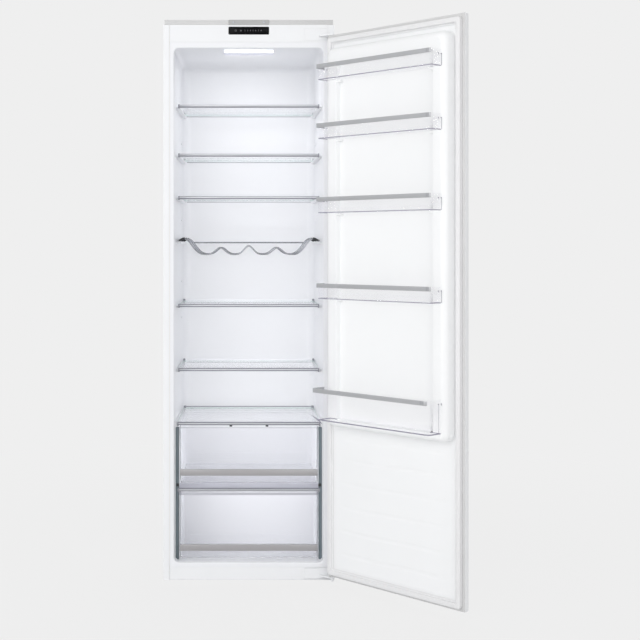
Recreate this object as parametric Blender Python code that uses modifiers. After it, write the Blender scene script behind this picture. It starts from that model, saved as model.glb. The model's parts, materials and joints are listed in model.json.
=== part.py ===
"""Built-in column refrigerator with its door open: larder shelves, bottle rack, crispers and door bins.

Metres, +Z up. The front faces -Y. The origin is the middle of the base's underside. The door is built
shut, in the frame of its hinge pins, and the empty that carries it is turned to the open angle.
"""

import math

import bmesh
import bpy
from mathutils import Matrix

MM = 0.001
GAP = 0.3 * MM

CABINET_WIDTH = 540 * MM
CABINET_HEIGHT = 1770 * MM
CASING_DEPTH = 500 * MM
CASING_TOP = 1753.8 * MM
SHEET = 1.0 * MM
HALF_WIDTH = CABINET_WIDTH / 2
FRONT = -CASING_DEPTH / 2
BACK = CASING_DEPTH / 2
SIDE_STRIP = 19.8 * MM

OPENING_HALF = 236.2 * MM
OPENING_FLOOR = 55.5 * MM
OPENING_TOP = 1681 * MM
OPENING_RADIUS = 16 * MM
OPENING_LIP = 3.5 * MM
CAVITY_DEPTH = 452 * MM
CAVITY_CORNER_DEPTH = 41 * MM
CAVITY_BACK_HALF = 201.5 * MM
CAVITY_SIDE_TAPER = 5.2 * MM
CAVITY_TOP_TAPER = 3 * MM
CAVITY_BACK_RISE = 15 * MM
LINER_WALL = 2 * MM
FLANGE_HALF = HALF_WIDTH - SIDE_STRIP - 2 * GAP
FLANGE_LOW = 41 * MM
FLANGE_HIGH = 1699.6 * MM
FLANGE_THICK = 2.2 * MM

STEP_DEPTH = 250 * MM
STEP_HEIGHT = 290 * MM
BAY_DEPTH = 290 * MM
BAY_HEIGHT = 250 * MM
BAY_SHEET = 1.5 * MM
FOAM_FRONT = 6 * MM
FOAM_LOW = 18 * MM
BASE_THICK = 2 * MM

FASCIA_THICK = 3 * MM
HINGE_NOTCH = (176 * MM, 1704.5 * MM, 1742.3 * MM)
DISPLAY_HALF = 64 * MM
DISPLAY_LOW = 1723.6 * MM
DISPLAY_HIGH = 1748 * MM
SEAL_HALF = 266.5 * MM
LAMP_HALF = 79 * MM
LAMP_NEAR = 41 * MM
LAMP_FAR = 103 * MM

EVAPORATOR_HALF = 190 * MM
EVAPORATOR_DEPTH = (455 * MM, 457.5 * MM)
EVAPORATOR_SPAN = (650 * MM, 1500 * MM)
BOARD_HALF = 70 * MM
BOARD_DEPTH = (6.6 * MM, 50 * MM)
BOARD_SPAN = (1706 * MM, 1744 * MM)

FOOT_X = 225 * MM
FOOT_DEPTH = 45 * MM
FOOT_PAD = 15 * MM
FOOT_STEM = 5 * MM
FOOT_TALL = 38 * MM
FOOT_BOSS = 22 * MM
FOOT_BOSS_TALL = 16 * MM
FOOT_RECESS_TALL = 10 * MM

COMPRESSOR_X = 90 * MM
COMPRESSOR_DEPTH = 400 * MM
COMPRESSOR_FOOT = 6 * MM
COIL_TUBE = 2.5 * MM
COIL_HALF = 165 * MM
COIL_LOW = 340 * MM
COIL_PITCH = 100 * MM
COIL_PASSES = 13

HINGE_X = 262 * MM
HINGE_DEPTH = -25 * MM
DOOR_OPEN_ANGLE = math.radians(132.2)
HINGE_PIN = 4 * MM
HINGE_HOLE = 4.6 * MM
UPPER_ARM_LOW = 1716.6 * MM
LOWER_ARM_LOW = 13.5 * MM
ARM_THICK = 4 * MM
HINGE_PLATE_LEFT = 177 * MM
HINGE_PLATE_RIGHT = 249.3 * MM

DOOR_LEFT = -530 * MM
DOOR_RIGHT = 8 * MM
DOOR_LOW = 20 * MM
DOOR_HIGH = 1715.6 * MM
DOOR_FACE = -11 * MM
DOOR_RIM = 9 * MM
DOOR_PAD = 15 * MM
DOOR_SHEET = 1.2 * MM
DOOR_EDGE_RADIUS = 9 * MM
DOOR_MIDDLE = -HINGE_X
GASKET_BORDER = 9 * MM
GASKET_TOP_BORDER = 11 * MM
GASKET_WIDTH = 15 * MM
GASKET_CREST = 24.6 * MM
DYKE_BASE_HALF = 236 * MM
DYKE_TOP_HALF = 228 * MM
DYKE_LOW = 498 * MM
DYKE_HIGH = 1668 * MM
DYKE_CREST = 58 * MM
DYKE_SLOPE = 14 * MM
DYKE_RADIUS = 20 * MM
RECESS_HALF = 189 * MM
RECESS_LOW = 523.2 * MM
RECESS_HIGH = 1628 * MM
RECESS_FLOOR = 40 * MM

SHELF_TOPS = (1512.5 * MM, 1354 * MM, 1216.5 * MM, 868 * MM, 661 * MM)
SHELF_HALF = 228 * MM
SHELF_FRONT = 86 * MM
SHELF_BACK = 388 * MM
TRIM_TALL = 11 * MM
TRIM_DEEP = 11 * MM
TRIM_FACE = 3.5 * MM
GLASS_THICK = 4 * MM
GLASS_SEAT = 2.5 * MM
LEDGE_HALF = 219 * MM
LEDGE_TALL = 7 * MM
LEDGE_FRONT = 100 * MM
LEDGE_BACK = 402 * MM

CRISPER_TOP = 494 * MM
CRISPER_FRONT = 32 * MM
CRISPER_LID_BACK = 420 * MM
GUIDE_INNER = 223 * MM
GUIDE_OUTER = 232.4 * MM
GUIDE_LEDGE = 213 * MM
GUIDE_FRONT = 34 * MM
GUIDE_BACK = 246 * MM
GUIDE_TOP = 478 * MM
DIVIDER_LOW = 272 * MM
DIVIDER_HIGH = 283 * MM
DRAWER_HALF = 221.5 * MM
DRAWER_DRAFT = 1 * MM
DRAWER_WALL = 2.4 * MM
DRAWER_FLOOR_RADIUS = 5 * MM
DRAWER_CORNER = 10 * MM
UPPER_DRAWER = (299 * MM, 477 * MM, 395 * MM)
LOWER_DRAWER = (60 * MM, 270 * MM, 242 * MM)
BAND_TALL = 20 * MM
BAND_HALF = 219 * MM
BAND_DEEP = 8 * MM
BAND_THICK = 1.8 * MM
UPPER_BAND_LOW = 325 * MM
LOWER_BAND_LOW = 86 * MM

RACK_ROD = 2.5 * MM
RACK_HALF = 227.5 * MM
RACK_LEVEL = 1073 * MM
RACK_HUMP = 1080 * MM
RACK_HUMP_X = 209 * MM
RACK_VALLEY = 1028.5 * MM
RACK_PEAK = 1050 * MM
RACK_MIDDLE_PEAK = 1056 * MM
RACK_BAR = 1067 * MM
RACK_BAR_HALF = 198 * MM
RACK_PITCH = 92.5 * MM
RACK_FRONT = 92 * MM
RACK_BACK = 384 * MM
RACK_STEP = 10 * MM

BIN_HALF = 222 * MM
BIN_BACK = 58.6 * MM
BIN_TAIL_HALF = 184 * MM
BIN_TAIL_BACK = 42 * MM
BIN_TAIL_TALL = 18 * MM
BIN_WALL = 2.2 * MM
BIN_TRIM_TALL = 13 * MM
BIN_TRIM_THICK = 2 * MM
BIN_TRIM_BACK = 70 * MM
BIN_TRIM_TOP = 0.5 * MM
LUG_TALL = 6 * MM
LUG_HALF = 176 * MM
BIN_HINGE_CORNER = 4 * MM
# Each bin's underside, rim and front face, how far its front and its hinge-side wall lean in at the
# floor, and the radius of its front corner away from the hinge.
BINS = (
    (1563.5 * MM, 1611 * MM, 105 * MM, 4 * MM, 1 * MM, 6 * MM),
    (1383 * MM, 1430 * MM, 105 * MM, 4 * MM, 1 * MM, 6 * MM),
    (1155.5 * MM, 1204 * MM, 105 * MM, 4 * MM, 1 * MM, 6 * MM),
    (893 * MM, 940.5 * MM, 105 * MM, 4 * MM, 1 * MM, 6 * MM),
    (RECESS_LOW + GAP, 621 * MM, 121 * MM, 9 * MM, 26 * MM, 14 * MM),
)

PARTS = "column_refrigerator"
CUTTERS = "cutters"

# Base colour, roughness, metallic and alpha of each finish.
LOOKS = {
    "white_steel": ((0.90, 0.91, 0.92), 0.35, 0.0, 1.0),
    "white_liner": ((0.86, 0.87, 0.90), 0.30, 0.0, 1.0),
    "grey_seal": ((0.62, 0.62, 0.65), 0.60, 0.0, 1.0),
    "grey_bracket": ((0.42, 0.42, 0.45), 0.50, 0.0, 1.0),
    "black_glass": ((0.01, 0.01, 0.012), 0.08, 0.0, 1.0),
    "lamp": ((0.95, 0.96, 1.0), 0.30, 0.0, 1.0),
    "foam": ((0.80, 0.72, 0.45), 0.90, 0.0, 1.0),
    "glass": ((0.85, 0.88, 0.90), 0.02, 0.0, 0.35),
    "clear_plastic": ((0.90, 0.91, 0.94), 0.08, 0.0, 0.35),
    "silver_trim": ((0.40, 0.40, 0.42), 0.30, 0.8, 1.0),
    "taupe_band": ((0.37, 0.35, 0.35), 0.35, 0.6, 1.0),
    "chrome": ((0.60, 0.60, 0.62), 0.15, 1.0, 1.0),
    "gasket_rubber": ((0.66, 0.66, 0.68), 0.55, 0.0, 1.0),
    "smoked_plastic": ((0.25, 0.30, 0.31), 0.35, 0.0, 1.0),
    "black_enamel": ((0.02, 0.02, 0.02), 0.35, 0.0, 1.0),
    "zinc_steel": ((0.55, 0.56, 0.58), 0.35, 0.9, 1.0),
    "aluminium": ((0.70, 0.71, 0.72), 0.35, 1.0, 1.0),
    "dark_plastic": ((0.05, 0.05, 0.055), 0.50, 0.0, 1.0),
}


def deep(distance):
    """The Y of a place this far behind the cabinet's front plane."""
    return FRONT + distance


def clear_scene():
    for thing in list(bpy.data.objects):
        bpy.data.objects.remove(thing, do_unlink=True)
    for name in (PARTS, CUTTERS):
        old = bpy.data.collections.get(name)
        if old:
            bpy.data.collections.remove(old)
        group = bpy.data.collections.new(name)
        bpy.context.scene.collection.children.link(group)


def finish(name, look):
    """One object's own Principled material."""
    colour, roughness, metallic, alpha = LOOKS[look]
    material = bpy.data.materials.new(f"{name}_{look}")
    material.use_nodes = True
    shader = material.node_tree.nodes["Principled BSDF"]
    shader.inputs["Base Color"].default_value = (*colour, 1.0)
    shader.inputs["Roughness"].default_value = roughness
    shader.inputs["Metallic"].default_value = metallic
    shader.inputs["Alpha"].default_value = alpha
    material.diffuse_color = (*colour, alpha)
    return material


def carrier(name, place, turn=0.0, parent=None):
    """An empty on a joint's axis, which carries the pieces that move together."""
    empty = bpy.data.objects.new(name, None)
    bpy.data.collections[PARTS].objects.link(empty)
    empty.parent = parent
    empty.location = place
    empty.rotation_euler.z = turn
    return empty


def add_object(name, data, look, parent=None, place=(0, 0, 0)):
    """Links data as a part with its own material or, where look is None, as a hidden cutter.

    A piece on the door's carrier is placed from the hinge axis. A piece on an unturned carrier keeps
    the coordinates that the carrier itself is placed in.
    """
    thing = bpy.data.objects.new(name, data)
    bpy.data.collections[PARTS if look else CUTTERS].objects.link(thing)
    thing.location = place
    if parent:
        thing.parent = parent
        if not parent.rotation_euler.z:
            thing.matrix_parent_inverse = Matrix.Translation(-parent.location)
    if look:
        data.materials.append(finish(name, look))
    else:
        thing.hide_render = True
        thing.display_type = "WIRE"
    return thing


def as_mesh(name, shape, smooth_angle=35):
    """A new mesh from a bmesh, smooth but for its sharp edges."""
    mesh = bpy.data.meshes.new(name)
    shape.to_mesh(mesh)
    shape.free()
    mesh.shade_smooth()
    mesh.set_sharp_from_angle(angle=math.radians(smooth_angle))
    return mesh


def add_box(shape, low, high):
    size = [b - a for a, b in zip(low, high)]
    middle = [(a + b) / 2 for a, b in zip(low, high)]
    matrix = Matrix.Translation(middle) @ Matrix.Diagonal((*size, 1.0))
    bmesh.ops.create_cube(shape, size=1.0, matrix=matrix)


def box(name, low, high, look=None, parent=None, bevel=0.0):
    """A block between two corners, with its edges rounded where asked."""
    middle = [(a + b) / 2 for a, b in zip(low, high)]
    shape = bmesh.new()
    add_box(shape, [a - m for a, m in zip(low, middle)], [b - m for b, m in zip(high, middle)])
    block = add_object(name, as_mesh(name, shape), look, parent, middle)
    if bevel:
        edge = block.modifiers.new("rounded edges", "BEVEL")
        edge.width = bevel
        edge.segments = 2
    return block


def cylinder(name, x, y, radius, low, high, look=None, parent=None, sides=20):
    """An upright round bar from low to high."""
    shape = bmesh.new()
    bmesh.ops.create_cone(
        shape, cap_ends=True, segments=sides, radius1=radius, radius2=radius, depth=high - low
    )
    return add_object(name, as_mesh(name, shape), look, parent, (x, y, (low + high) / 2))


def boolean(target, other, operation="DIFFERENCE"):
    change = target.modifiers.new(other.name, "BOOLEAN")
    change.operation = operation
    change.solver = "EXACT"
    change.object = other


def rounded(corners, steps=3):
    """An outline through (x, y, radius) corners, each radius drawn as an arc."""
    outline = []
    for i, (x, y, radius) in enumerate(corners):
        if not radius:
            outline.append((x, y))
            continue
        px, py, _ = corners[i - 1]
        nx, ny, _ = corners[(i + 1) % len(corners)]
        before = math.atan2(py - y, px - x)
        after = math.atan2(ny - y, nx - x)
        opening = (before - after + math.pi) % (2 * math.pi) - math.pi
        half = abs(opening) / 2
        middle = after + opening / 2
        cx = x + radius / math.sin(half) * math.cos(middle)
        cy = y + radius / math.sin(half) * math.sin(middle)
        reach = radius / math.tan(half)
        start = math.atan2(y + reach * math.sin(before) - cy, x + reach * math.cos(before) - cx)
        sweep = math.copysign(math.pi - 2 * half, opening)
        for step in range(steps + 1):
            angle = start + sweep * step / steps
            outline.append((cx + radius * math.cos(angle), cy + radius * math.sin(angle)))
    return outline


def rectangle(x0, x1, y0, y1, radius=0.0):
    return [(x0, y0, radius), (x1, y0, radius), (x1, y1, radius), (x0, y1, radius)]


def plate(name, outlines, low, high, plane, look=None, parent=None):
    """Flat outlines given thickness: plane XY along Z, XZ along Y and YZ along X."""
    curve = bpy.data.curves.new(name, "CURVE")
    curve.dimensions = "2D"
    curve.fill_mode = "BOTH"
    curve.extrude = (high - low) / 2
    for outline in outlines:
        spline = curve.splines.new("POLY")
        spline.points.add(len(outline) - 1)
        for point, (a, b) in zip(spline.points, outline):
            point.co = (a, b, 0, 1)
        spline.use_cyclic_u = True
    middle = (low + high) / 2
    place = {"XY": (0, 0, middle), "XZ": (0, middle, 0), "YZ": (middle, 0, 0)}[plane]
    thing = add_object(name, curve, look, parent, place)
    if plane != "XY":
        thing.rotation_euler.x = math.pi / 2
    if plane == "YZ":
        thing.rotation_euler.z = math.pi / 2
    return thing


def loft(name, sections, axis, look=None, parent=None, capped=(True, True), steps=3):
    """Rounded rectangles skinned one to the next along Y or Z. A section is its offset, the two
    limits across, the two limits up (or back, along Z) and the corner radius."""
    shape = bmesh.new()
    rings = []
    for offset, a0, a1, b0, b1, radius in sections:
        corners = rounded(rectangle(a0, a1, b0, b1, radius), steps)
        rings.append([
            shape.verts.new((a, offset, b) if axis == "Y" else (a, b, offset)) for a, b in corners
        ])
    count = len(rings[0])
    for first, second in zip(rings, rings[1:]):
        for i in range(count):
            j = (i + 1) % count
            shape.faces.new((first[i], first[j], second[j], second[i]))
    for ring, wanted in zip((rings[0], rings[-1]), capped):
        if wanted:
            shape.faces.new(ring)
    bmesh.ops.recalc_face_normals(shape, faces=shape.faces)
    return add_object(name, as_mesh(name, shape), look, parent)


def wall(thing, thickness):
    """Gives an open surface its thickness, inwards."""
    shell = thing.modifiers.new("wall", "SOLIDIFY")
    shell.thickness = thickness
    shell.offset = -1
    shell.use_even_offset = True


def turned(name, profile, look, place, tilt=0.0, steps=20, parent=None):
    """A profile of (radius, height) points, from top to bottom, turned about Z."""
    mesh = bpy.data.meshes.new(name)
    edges = [(i, i + 1) for i in range(len(profile) - 1)]
    mesh.from_pydata([(radius, 0, height) for radius, height in profile], edges, [])
    thing = add_object(name, mesh, look, parent, place)
    thing.rotation_euler.x = tilt
    screw = thing.modifiers.new("turned", "SCREW")
    screw.steps = screw.render_steps = steps
    screw.use_merge_vertices = True
    screw.merge_threshold = 1e-6
    screw.use_smooth_shade = True
    return thing


def rod(name, points, radius, look=None, parent=None):
    """A round wire or tube along points."""
    curve = bpy.data.curves.new(name, "CURVE")
    curve.dimensions = "3D"
    curve.bevel_depth = radius
    curve.bevel_resolution = 1
    curve.use_fill_caps = True
    spline = curve.splines.new("POLY")
    spline.points.add(len(points) - 1)
    for point, place in zip(spline.points, points):
        point.co = (*place, 1)
    return add_object(name, curve, look, parent)


def solid_mesh(thing):
    """The same piece as a welded mesh, for a curve that has to be cut or joined."""
    bpy.context.view_layer.update()
    graph = bpy.context.evaluated_depsgraph_get()
    mesh = bpy.data.meshes.new_from_object(thing.evaluated_get(graph))
    shape = bmesh.new()
    shape.from_mesh(mesh)
    bmesh.ops.remove_doubles(shape, verts=shape.verts, dist=1e-6)
    bmesh.ops.recalc_face_normals(shape, faces=shape.faces)
    shape.to_mesh(mesh)
    shape.free()
    name = thing.name
    group = thing.users_collection[0]
    place = thing.matrix_world.copy()
    parent = thing.parent
    hidden = thing.hide_render
    bpy.data.objects.remove(thing, do_unlink=True)
    solid = bpy.data.objects.new(name, mesh)
    group.objects.link(solid)
    solid.parent = parent
    solid.matrix_world = place
    solid.hide_render = hidden
    if hidden:
        solid.display_type = "WIRE"
    return solid


def cavity_sections(grow):
    """Sections of the cabinet's inside from front to back, grown outwards all round."""
    straight = CAVITY_DEPTH - CAVITY_CORNER_DEPTH
    corner_side = OPENING_HALF - CAVITY_SIDE_TAPER - CAVITY_BACK_HALF
    insets = [
        (-10 * MM, -OPENING_LIP, -OPENING_LIP, -OPENING_LIP),
        (0, -OPENING_LIP, -OPENING_LIP, -OPENING_LIP),
        (1.2 * MM, -0.3 * OPENING_LIP, -0.3 * OPENING_LIP, -0.3 * OPENING_LIP),
        (4 * MM, 0, 0, 0),
    ]
    for step in range(5):
        angle = math.radians(90 * step / 4)
        inward = 1 - math.cos(angle)
        insets.append((
            straight + (CAVITY_CORNER_DEPTH + grow) * math.sin(angle),
            CAVITY_SIDE_TAPER + corner_side * inward,
            CAVITY_TOP_TAPER + CAVITY_BACK_RISE * inward,
            CAVITY_BACK_RISE * inward,
        ))
    return [
        (
            deep(depth), -OPENING_HALF + side - grow, OPENING_HALF - side + grow,
            OPENING_FLOOR + floor - grow, OPENING_TOP - top + grow, OPENING_RADIUS + grow,
        )
        for depth, side, top, floor in insets
    ]


def step_block(name, grow, bevel=0.0):
    """The block that the compressor's bay takes out of the cavity, shrunk where grow is above 0."""
    return box(
        name, (-HALF_WIDTH, deep(STEP_DEPTH + grow), 0),
        (HALF_WIDTH, BACK + 20 * MM, STEP_HEIGHT - grow), bevel=bevel,
    )


def make_ledge_bars():
    """The ribs that carry the shelves, as bars that reach past the cavity's side walls."""
    seat = GLASS_SEAT + GLASS_THICK + GAP
    tops = [top - seat for top in (*SHELF_TOPS, CRISPER_TOP)]
    tops.append(RACK_LEVEL - RACK_ROD - GAP)
    shape = bmesh.new()
    for top in tops:
        for inner, outer in ((LEDGE_HALF, HALF_WIDTH), (-HALF_WIDTH, -LEDGE_HALF)):
            add_box(
                shape, (inner, deep(LEDGE_FRONT), top - LEDGE_TALL), (outer, deep(LEDGE_BACK), top)
            )
    return add_object("ledge_bars", as_mesh("ledge_bars", shape), None)


def make_inner_liner():
    cavity = loft("cavity_space", cavity_sections(0), "Y")
    boolean(cavity, step_block("inner_step", 0, bevel=6 * MM))
    boolean(cavity, make_ledge_bars())
    flange = box(
        "liner_flange", (-FLANGE_HALF, FRONT, FLANGE_LOW),
        (FLANGE_HALF, deep(FLANGE_THICK), FLANGE_HIGH),
    )
    liner = loft("inner_liner", cavity_sections(LINER_WALL)[1:], "Y", "white_liner")
    boolean(liner, step_block("outer_step", LINER_WALL))
    boolean(liner, flange, "UNION")
    boolean(liner, cavity)


def make_foam():
    """Insulation between liner and casing, cut away for the bay and for what is buried in it."""
    clear = 2 * GAP
    side = HALF_WIDTH - SHEET - clear
    foam = box(
        "foam_insulation", (-side, deep(FOAM_FRONT), FOAM_LOW),
        (side, BACK - SHEET - clear, CASING_TOP - SHEET - clear), "foam",
    )
    tub = loft("liner_space", cavity_sections(LINER_WALL + clear), "Y")
    boolean(tub, step_block("foam_step", LINER_WALL + clear))
    bay = box(
        "bay_space", (-HALF_WIDTH, deep(BAY_DEPTH) - GAP, 0),
        (HALF_WIDTH, BACK + 10 * MM, BAY_HEIGHT + BAY_SHEET + GAP),
    )
    evaporator = box(
        "evaporator_space",
        (-EVAPORATOR_HALF - clear, deep(EVAPORATOR_DEPTH[0]) - clear, EVAPORATOR_SPAN[0] - clear),
        (EVAPORATOR_HALF + clear, deep(EVAPORATOR_DEPTH[1]) + clear, EVAPORATOR_SPAN[1] + clear),
    )
    board = box(
        "board_space", (-BOARD_HALF - clear, deep(0), BOARD_SPAN[0] - clear),
        (BOARD_HALF + clear, deep(BOARD_DEPTH[1]) + clear, BOARD_SPAN[1] + clear),
    )
    for cutter in (tub, bay, evaporator, board):
        boolean(foam, cutter)
    for name, x in (("left", -FOOT_X), ("right", FOOT_X)):
        space = cylinder(
            f"foot_space_{name}", x, deep(FOOT_DEPTH), FOOT_BOSS + 3 * MM, 0, FOOT_TALL + 6 * MM
        )
        boolean(foam, space)


def make_casing():
    strip = FRONT + SHEET
    inner = HALF_WIDTH - SHEET
    lap = HALF_WIDTH - SIDE_STRIP
    outline = [
        (HALF_WIDTH, FRONT), (HALF_WIDTH, BACK), (inner, BACK), (inner, strip), (lap, strip),
        (lap, FRONT),
    ]
    mirrored = [(-x, y) for x, y in reversed(outline)]
    plate("side_panel_right", [outline], 0, CASING_TOP, "XY", "white_steel")
    plate("side_panel_left", [mirrored], 0, CASING_TOP, "XY", "white_steel")
    side = inner - GAP
    box(
        "top_panel", (-side, deep(FASCIA_THICK + GAP), CASING_TOP - SHEET - GAP),
        (side, BACK - SHEET - GAP, CASING_TOP - GAP), "zinc_steel",
    )
    box(
        "back_panel", (-side, BACK - SHEET, BAY_HEIGHT + BAY_SHEET + GAP),
        (side, BACK, CASING_TOP - GAP), "zinc_steel",
    )
    near = deep(BAY_DEPTH)
    far = BACK - SHEET - GAP
    bend = [
        (near, BASE_THICK + GAP), (near + BAY_SHEET, BASE_THICK + GAP),
        (near + BAY_SHEET, BAY_HEIGHT), (far, BAY_HEIGHT), (far, BAY_HEIGHT + BAY_SHEET),
        (near, BAY_HEIGHT + BAY_SHEET),
    ]
    plate("bay_liner", [bend], -side, side, "YZ", "zinc_steel")


def make_base():
    """The base plate, with a boss over each levelling foot, and the two feet."""
    side = HALF_WIDTH - SHEET - GAP
    base = box("base_plate", (-side, deep(1.5 * MM), 0), (side, BACK, BASE_THICK), "zinc_steel")
    y = deep(FOOT_DEPTH)
    for name, x in (("left", -FOOT_X), ("right", FOOT_X)):
        boss = cylinder(f"boss_{name}", x, y, FOOT_BOSS, 0, FOOT_BOSS_TALL, sides=24)
        recess = cylinder(
            f"foot_recess_{name}", x, y, FOOT_PAD + 2 * MM, -5 * MM, FOOT_RECESS_TALL, sides=24
        )
        hole = cylinder(f"stem_hole_{name}", x, y, FOOT_STEM + 2 * GAP, 0, 30 * MM)
        boolean(base, boss, "UNION")
        boolean(base, recess)
        boolean(base, hole)
        foot = carrier(f"levelling_foot_{name}_axis", (x, y, 0))
        profile = [
            (0, FOOT_TALL), (FOOT_STEM, FOOT_TALL), (FOOT_STEM, 8 * MM), (FOOT_PAD, 6 * MM),
            (FOOT_PAD, 0), (0, 0),
        ]
        turned(f"levelling_foot_{name}", profile, "dark_plastic", (x, y, 0), parent=foot)


def make_front_trim():
    """Fascia, display, plinth, top seal with its fixing bracket, and the ceiling lamp's lens."""
    left, low, high = HINGE_NOTCH
    fascia = [
        (-FLANGE_HALF, FLANGE_HIGH + GAP), (FLANGE_HALF, FLANGE_HIGH + GAP), (FLANGE_HALF, low),
        (left, low), (left, high), (FLANGE_HALF, high), (FLANGE_HALF, CASING_TOP),
        (-FLANGE_HALF, CASING_TOP),
    ]
    window = rounded(rectangle(
        -DISPLAY_HALF - GAP, DISPLAY_HALF + GAP, DISPLAY_LOW - GAP, DISPLAY_HIGH + GAP, 3 * MM
    ))
    plate("top_fascia", [fascia, window], deep(0), deep(FASCIA_THICK), "XZ", "white_steel")
    face = rounded(rectangle(-DISPLAY_HALF, DISPLAY_HALF, DISPLAY_LOW, DISPLAY_HIGH, 3 * MM))
    plate("display_panel", [face], deep(-0.6 * MM), deep(5 * MM), "XZ", "black_glass")
    box(
        "plinth_strip", (-FLANGE_HALF, deep(0.2 * MM), BASE_THICK + GAP),
        (HINGE_PLATE_LEFT - GAP, deep(2.2 * MM), FLANGE_LOW - GAP), "white_steel",
    )
    box(
        "top_seal_strip", (-SEAL_HALF, deep(1 * MM), CASING_TOP + GAP),
        (SEAL_HALF, deep(12 * MM), CABINET_HEIGHT), "grey_seal",
    )
    box(
        "fixing_bracket", (-DISPLAY_HALF, deep(-1.5 * MM), CASING_TOP + GAP),
        (DISPLAY_HALF, deep(1 * MM) - GAP, CABINET_HEIGHT), "grey_bracket",
    )
    box(
        "lamp_lens", (-LAMP_HALF, deep(LAMP_NEAR), 1673 * MM),
        (LAMP_HALF, deep(LAMP_FAR), 1679.9 * MM), "lamp", bevel=2 * MM,
    )


def make_cold_circuit():
    """Evaporator, control board's box, compressor, relay, tray, inlet gland and condenser coil."""
    box(
        "evaporator_plate", (-EVAPORATOR_HALF, deep(EVAPORATOR_DEPTH[0]), EVAPORATOR_SPAN[0]),
        (EVAPORATOR_HALF, deep(EVAPORATOR_DEPTH[1]), EVAPORATOR_SPAN[1]), "aluminium",
    )
    box(
        "control_board_box", (-BOARD_HALF, deep(BOARD_DEPTH[0]), BOARD_SPAN[0]),
        (BOARD_HALF, deep(BOARD_DEPTH[1]), BOARD_SPAN[1]), "dark_plastic",
    )
    can = [
        (0, 178), (38, 174), (58, 160), (70, 138), (73, 110), (73, 101), (77, 100), (77, 95),
        (73, 94), (73, 60), (70, 34), (58, 14), (40, 8), (0, 8),
    ]
    y = deep(COMPRESSOR_DEPTH)
    feet_low = BASE_THICK + GAP
    feet = box(
        "compressor_feet", (COMPRESSOR_X - 90 * MM, y - 55 * MM, feet_low),
        (COMPRESSOR_X + 90 * MM, y + 55 * MM, feet_low + 8 * MM),
    )
    compressor = turned(
        "compressor", [(r * MM, h * MM) for r, h in can], "black_enamel", (COMPRESSOR_X, y, 0), steps=24
    )
    boolean(compressor, feet, "UNION")
    relay = (-34 * MM, COMPRESSOR_X - 78 * MM)
    box(
        "start_relay", (relay[0], y - 30 * MM, 50 * MM), (relay[1], y + 30 * MM, 115 * MM),
        "dark_plastic", bevel=3 * MM,
    )
    gland = [(0, 24), (6, 24), (8, 20), (8, 3), (11, 3), (11, 0), (0, 0)]
    turned(
        "mains_inlet_gland", [(r * MM, h * MM) for r, h in gland], "dark_plastic",
        (sum(relay) / 2, y + 30 * MM + GAP, 82 * MM), tilt=-math.pi / 2, steps=16,
    )
    tray = loft(
        "drip_tray",
        [
            (178.4 * MM, 24 * MM, 156 * MM, y - 62 * MM, y + 62 * MM, 10 * MM),
            (204 * MM, 20 * MM, 160 * MM, y - 66 * MM, y + 66 * MM, 12 * MM),
        ],
        "Z", "dark_plastic", capped=(True, False),
    )
    wall(tray, 2 * MM)
    rod("condenser_coil", coil_route(), COIL_TUBE, "black_enamel")


def coil_route():
    """From the compressor's side up the back in a serpentine, then down beside it to the bay."""
    y = BACK + GAP + COIL_TUBE
    turn = COIL_PITCH / 2
    start = COMPRESSOR_X + 82 * MM
    points = [
        (start, deep(COMPRESSOR_DEPTH), 60 * MM), (start + 20 * MM, deep(COMPRESSOR_DEPTH), 60 * MM),
        (start + 40 * MM, y - 20 * MM, 70 * MM), (start + 40 * MM, y - 4 * MM, 90 * MM),
        (start + 40 * MM, y, 110 * MM), (start + 40 * MM, y, COIL_LOW - 24 * MM),
        (start + 30 * MM, y, COIL_LOW - 6 * MM), (start + 12 * MM, y, COIL_LOW),
    ]
    for number in range(COIL_PASSES):
        z = COIL_LOW + number * COIL_PITCH
        side = -1 if number % 2 == 0 else 1
        last = number == COIL_PASSES - 1
        for step in range(1 if last else 6):
            angle = math.pi * step / 5
            points.append((
                side * (COIL_HALF + turn * math.sin(angle)), y, z + turn * (1 - math.cos(angle))
            ))
    z = COIL_LOW + (COIL_PASSES - 1) * COIL_PITCH
    outer = COIL_HALF + turn + 22 * MM
    points += [
        (-outer + 20 * MM, y, z), (-outer + 6 * MM, y, z - 6 * MM), (-outer, y, z - 20 * MM),
        (-outer, y, 200 * MM),
    ]
    return points


def hinge_arm(name, back, low):
    """A flat arm from the hinge plate out to the pin."""
    side = HINGE_PLATE_RIGHT - 0.6 * MM
    outline = [
        (224 * MM, deep(back)), (side, deep(back)), (side, deep(-6 * MM)),
        (269.5 * MM, deep(-18 * MM)), (269.5 * MM, deep(-28 * MM)), (HINGE_X, deep(-34 * MM)),
        (252 * MM, deep(-31 * MM)), (224 * MM, deep(-8 * MM)),
    ]
    return solid_mesh(plate(name, [outline], low, low + ARM_THICK, "XY"))


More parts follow.
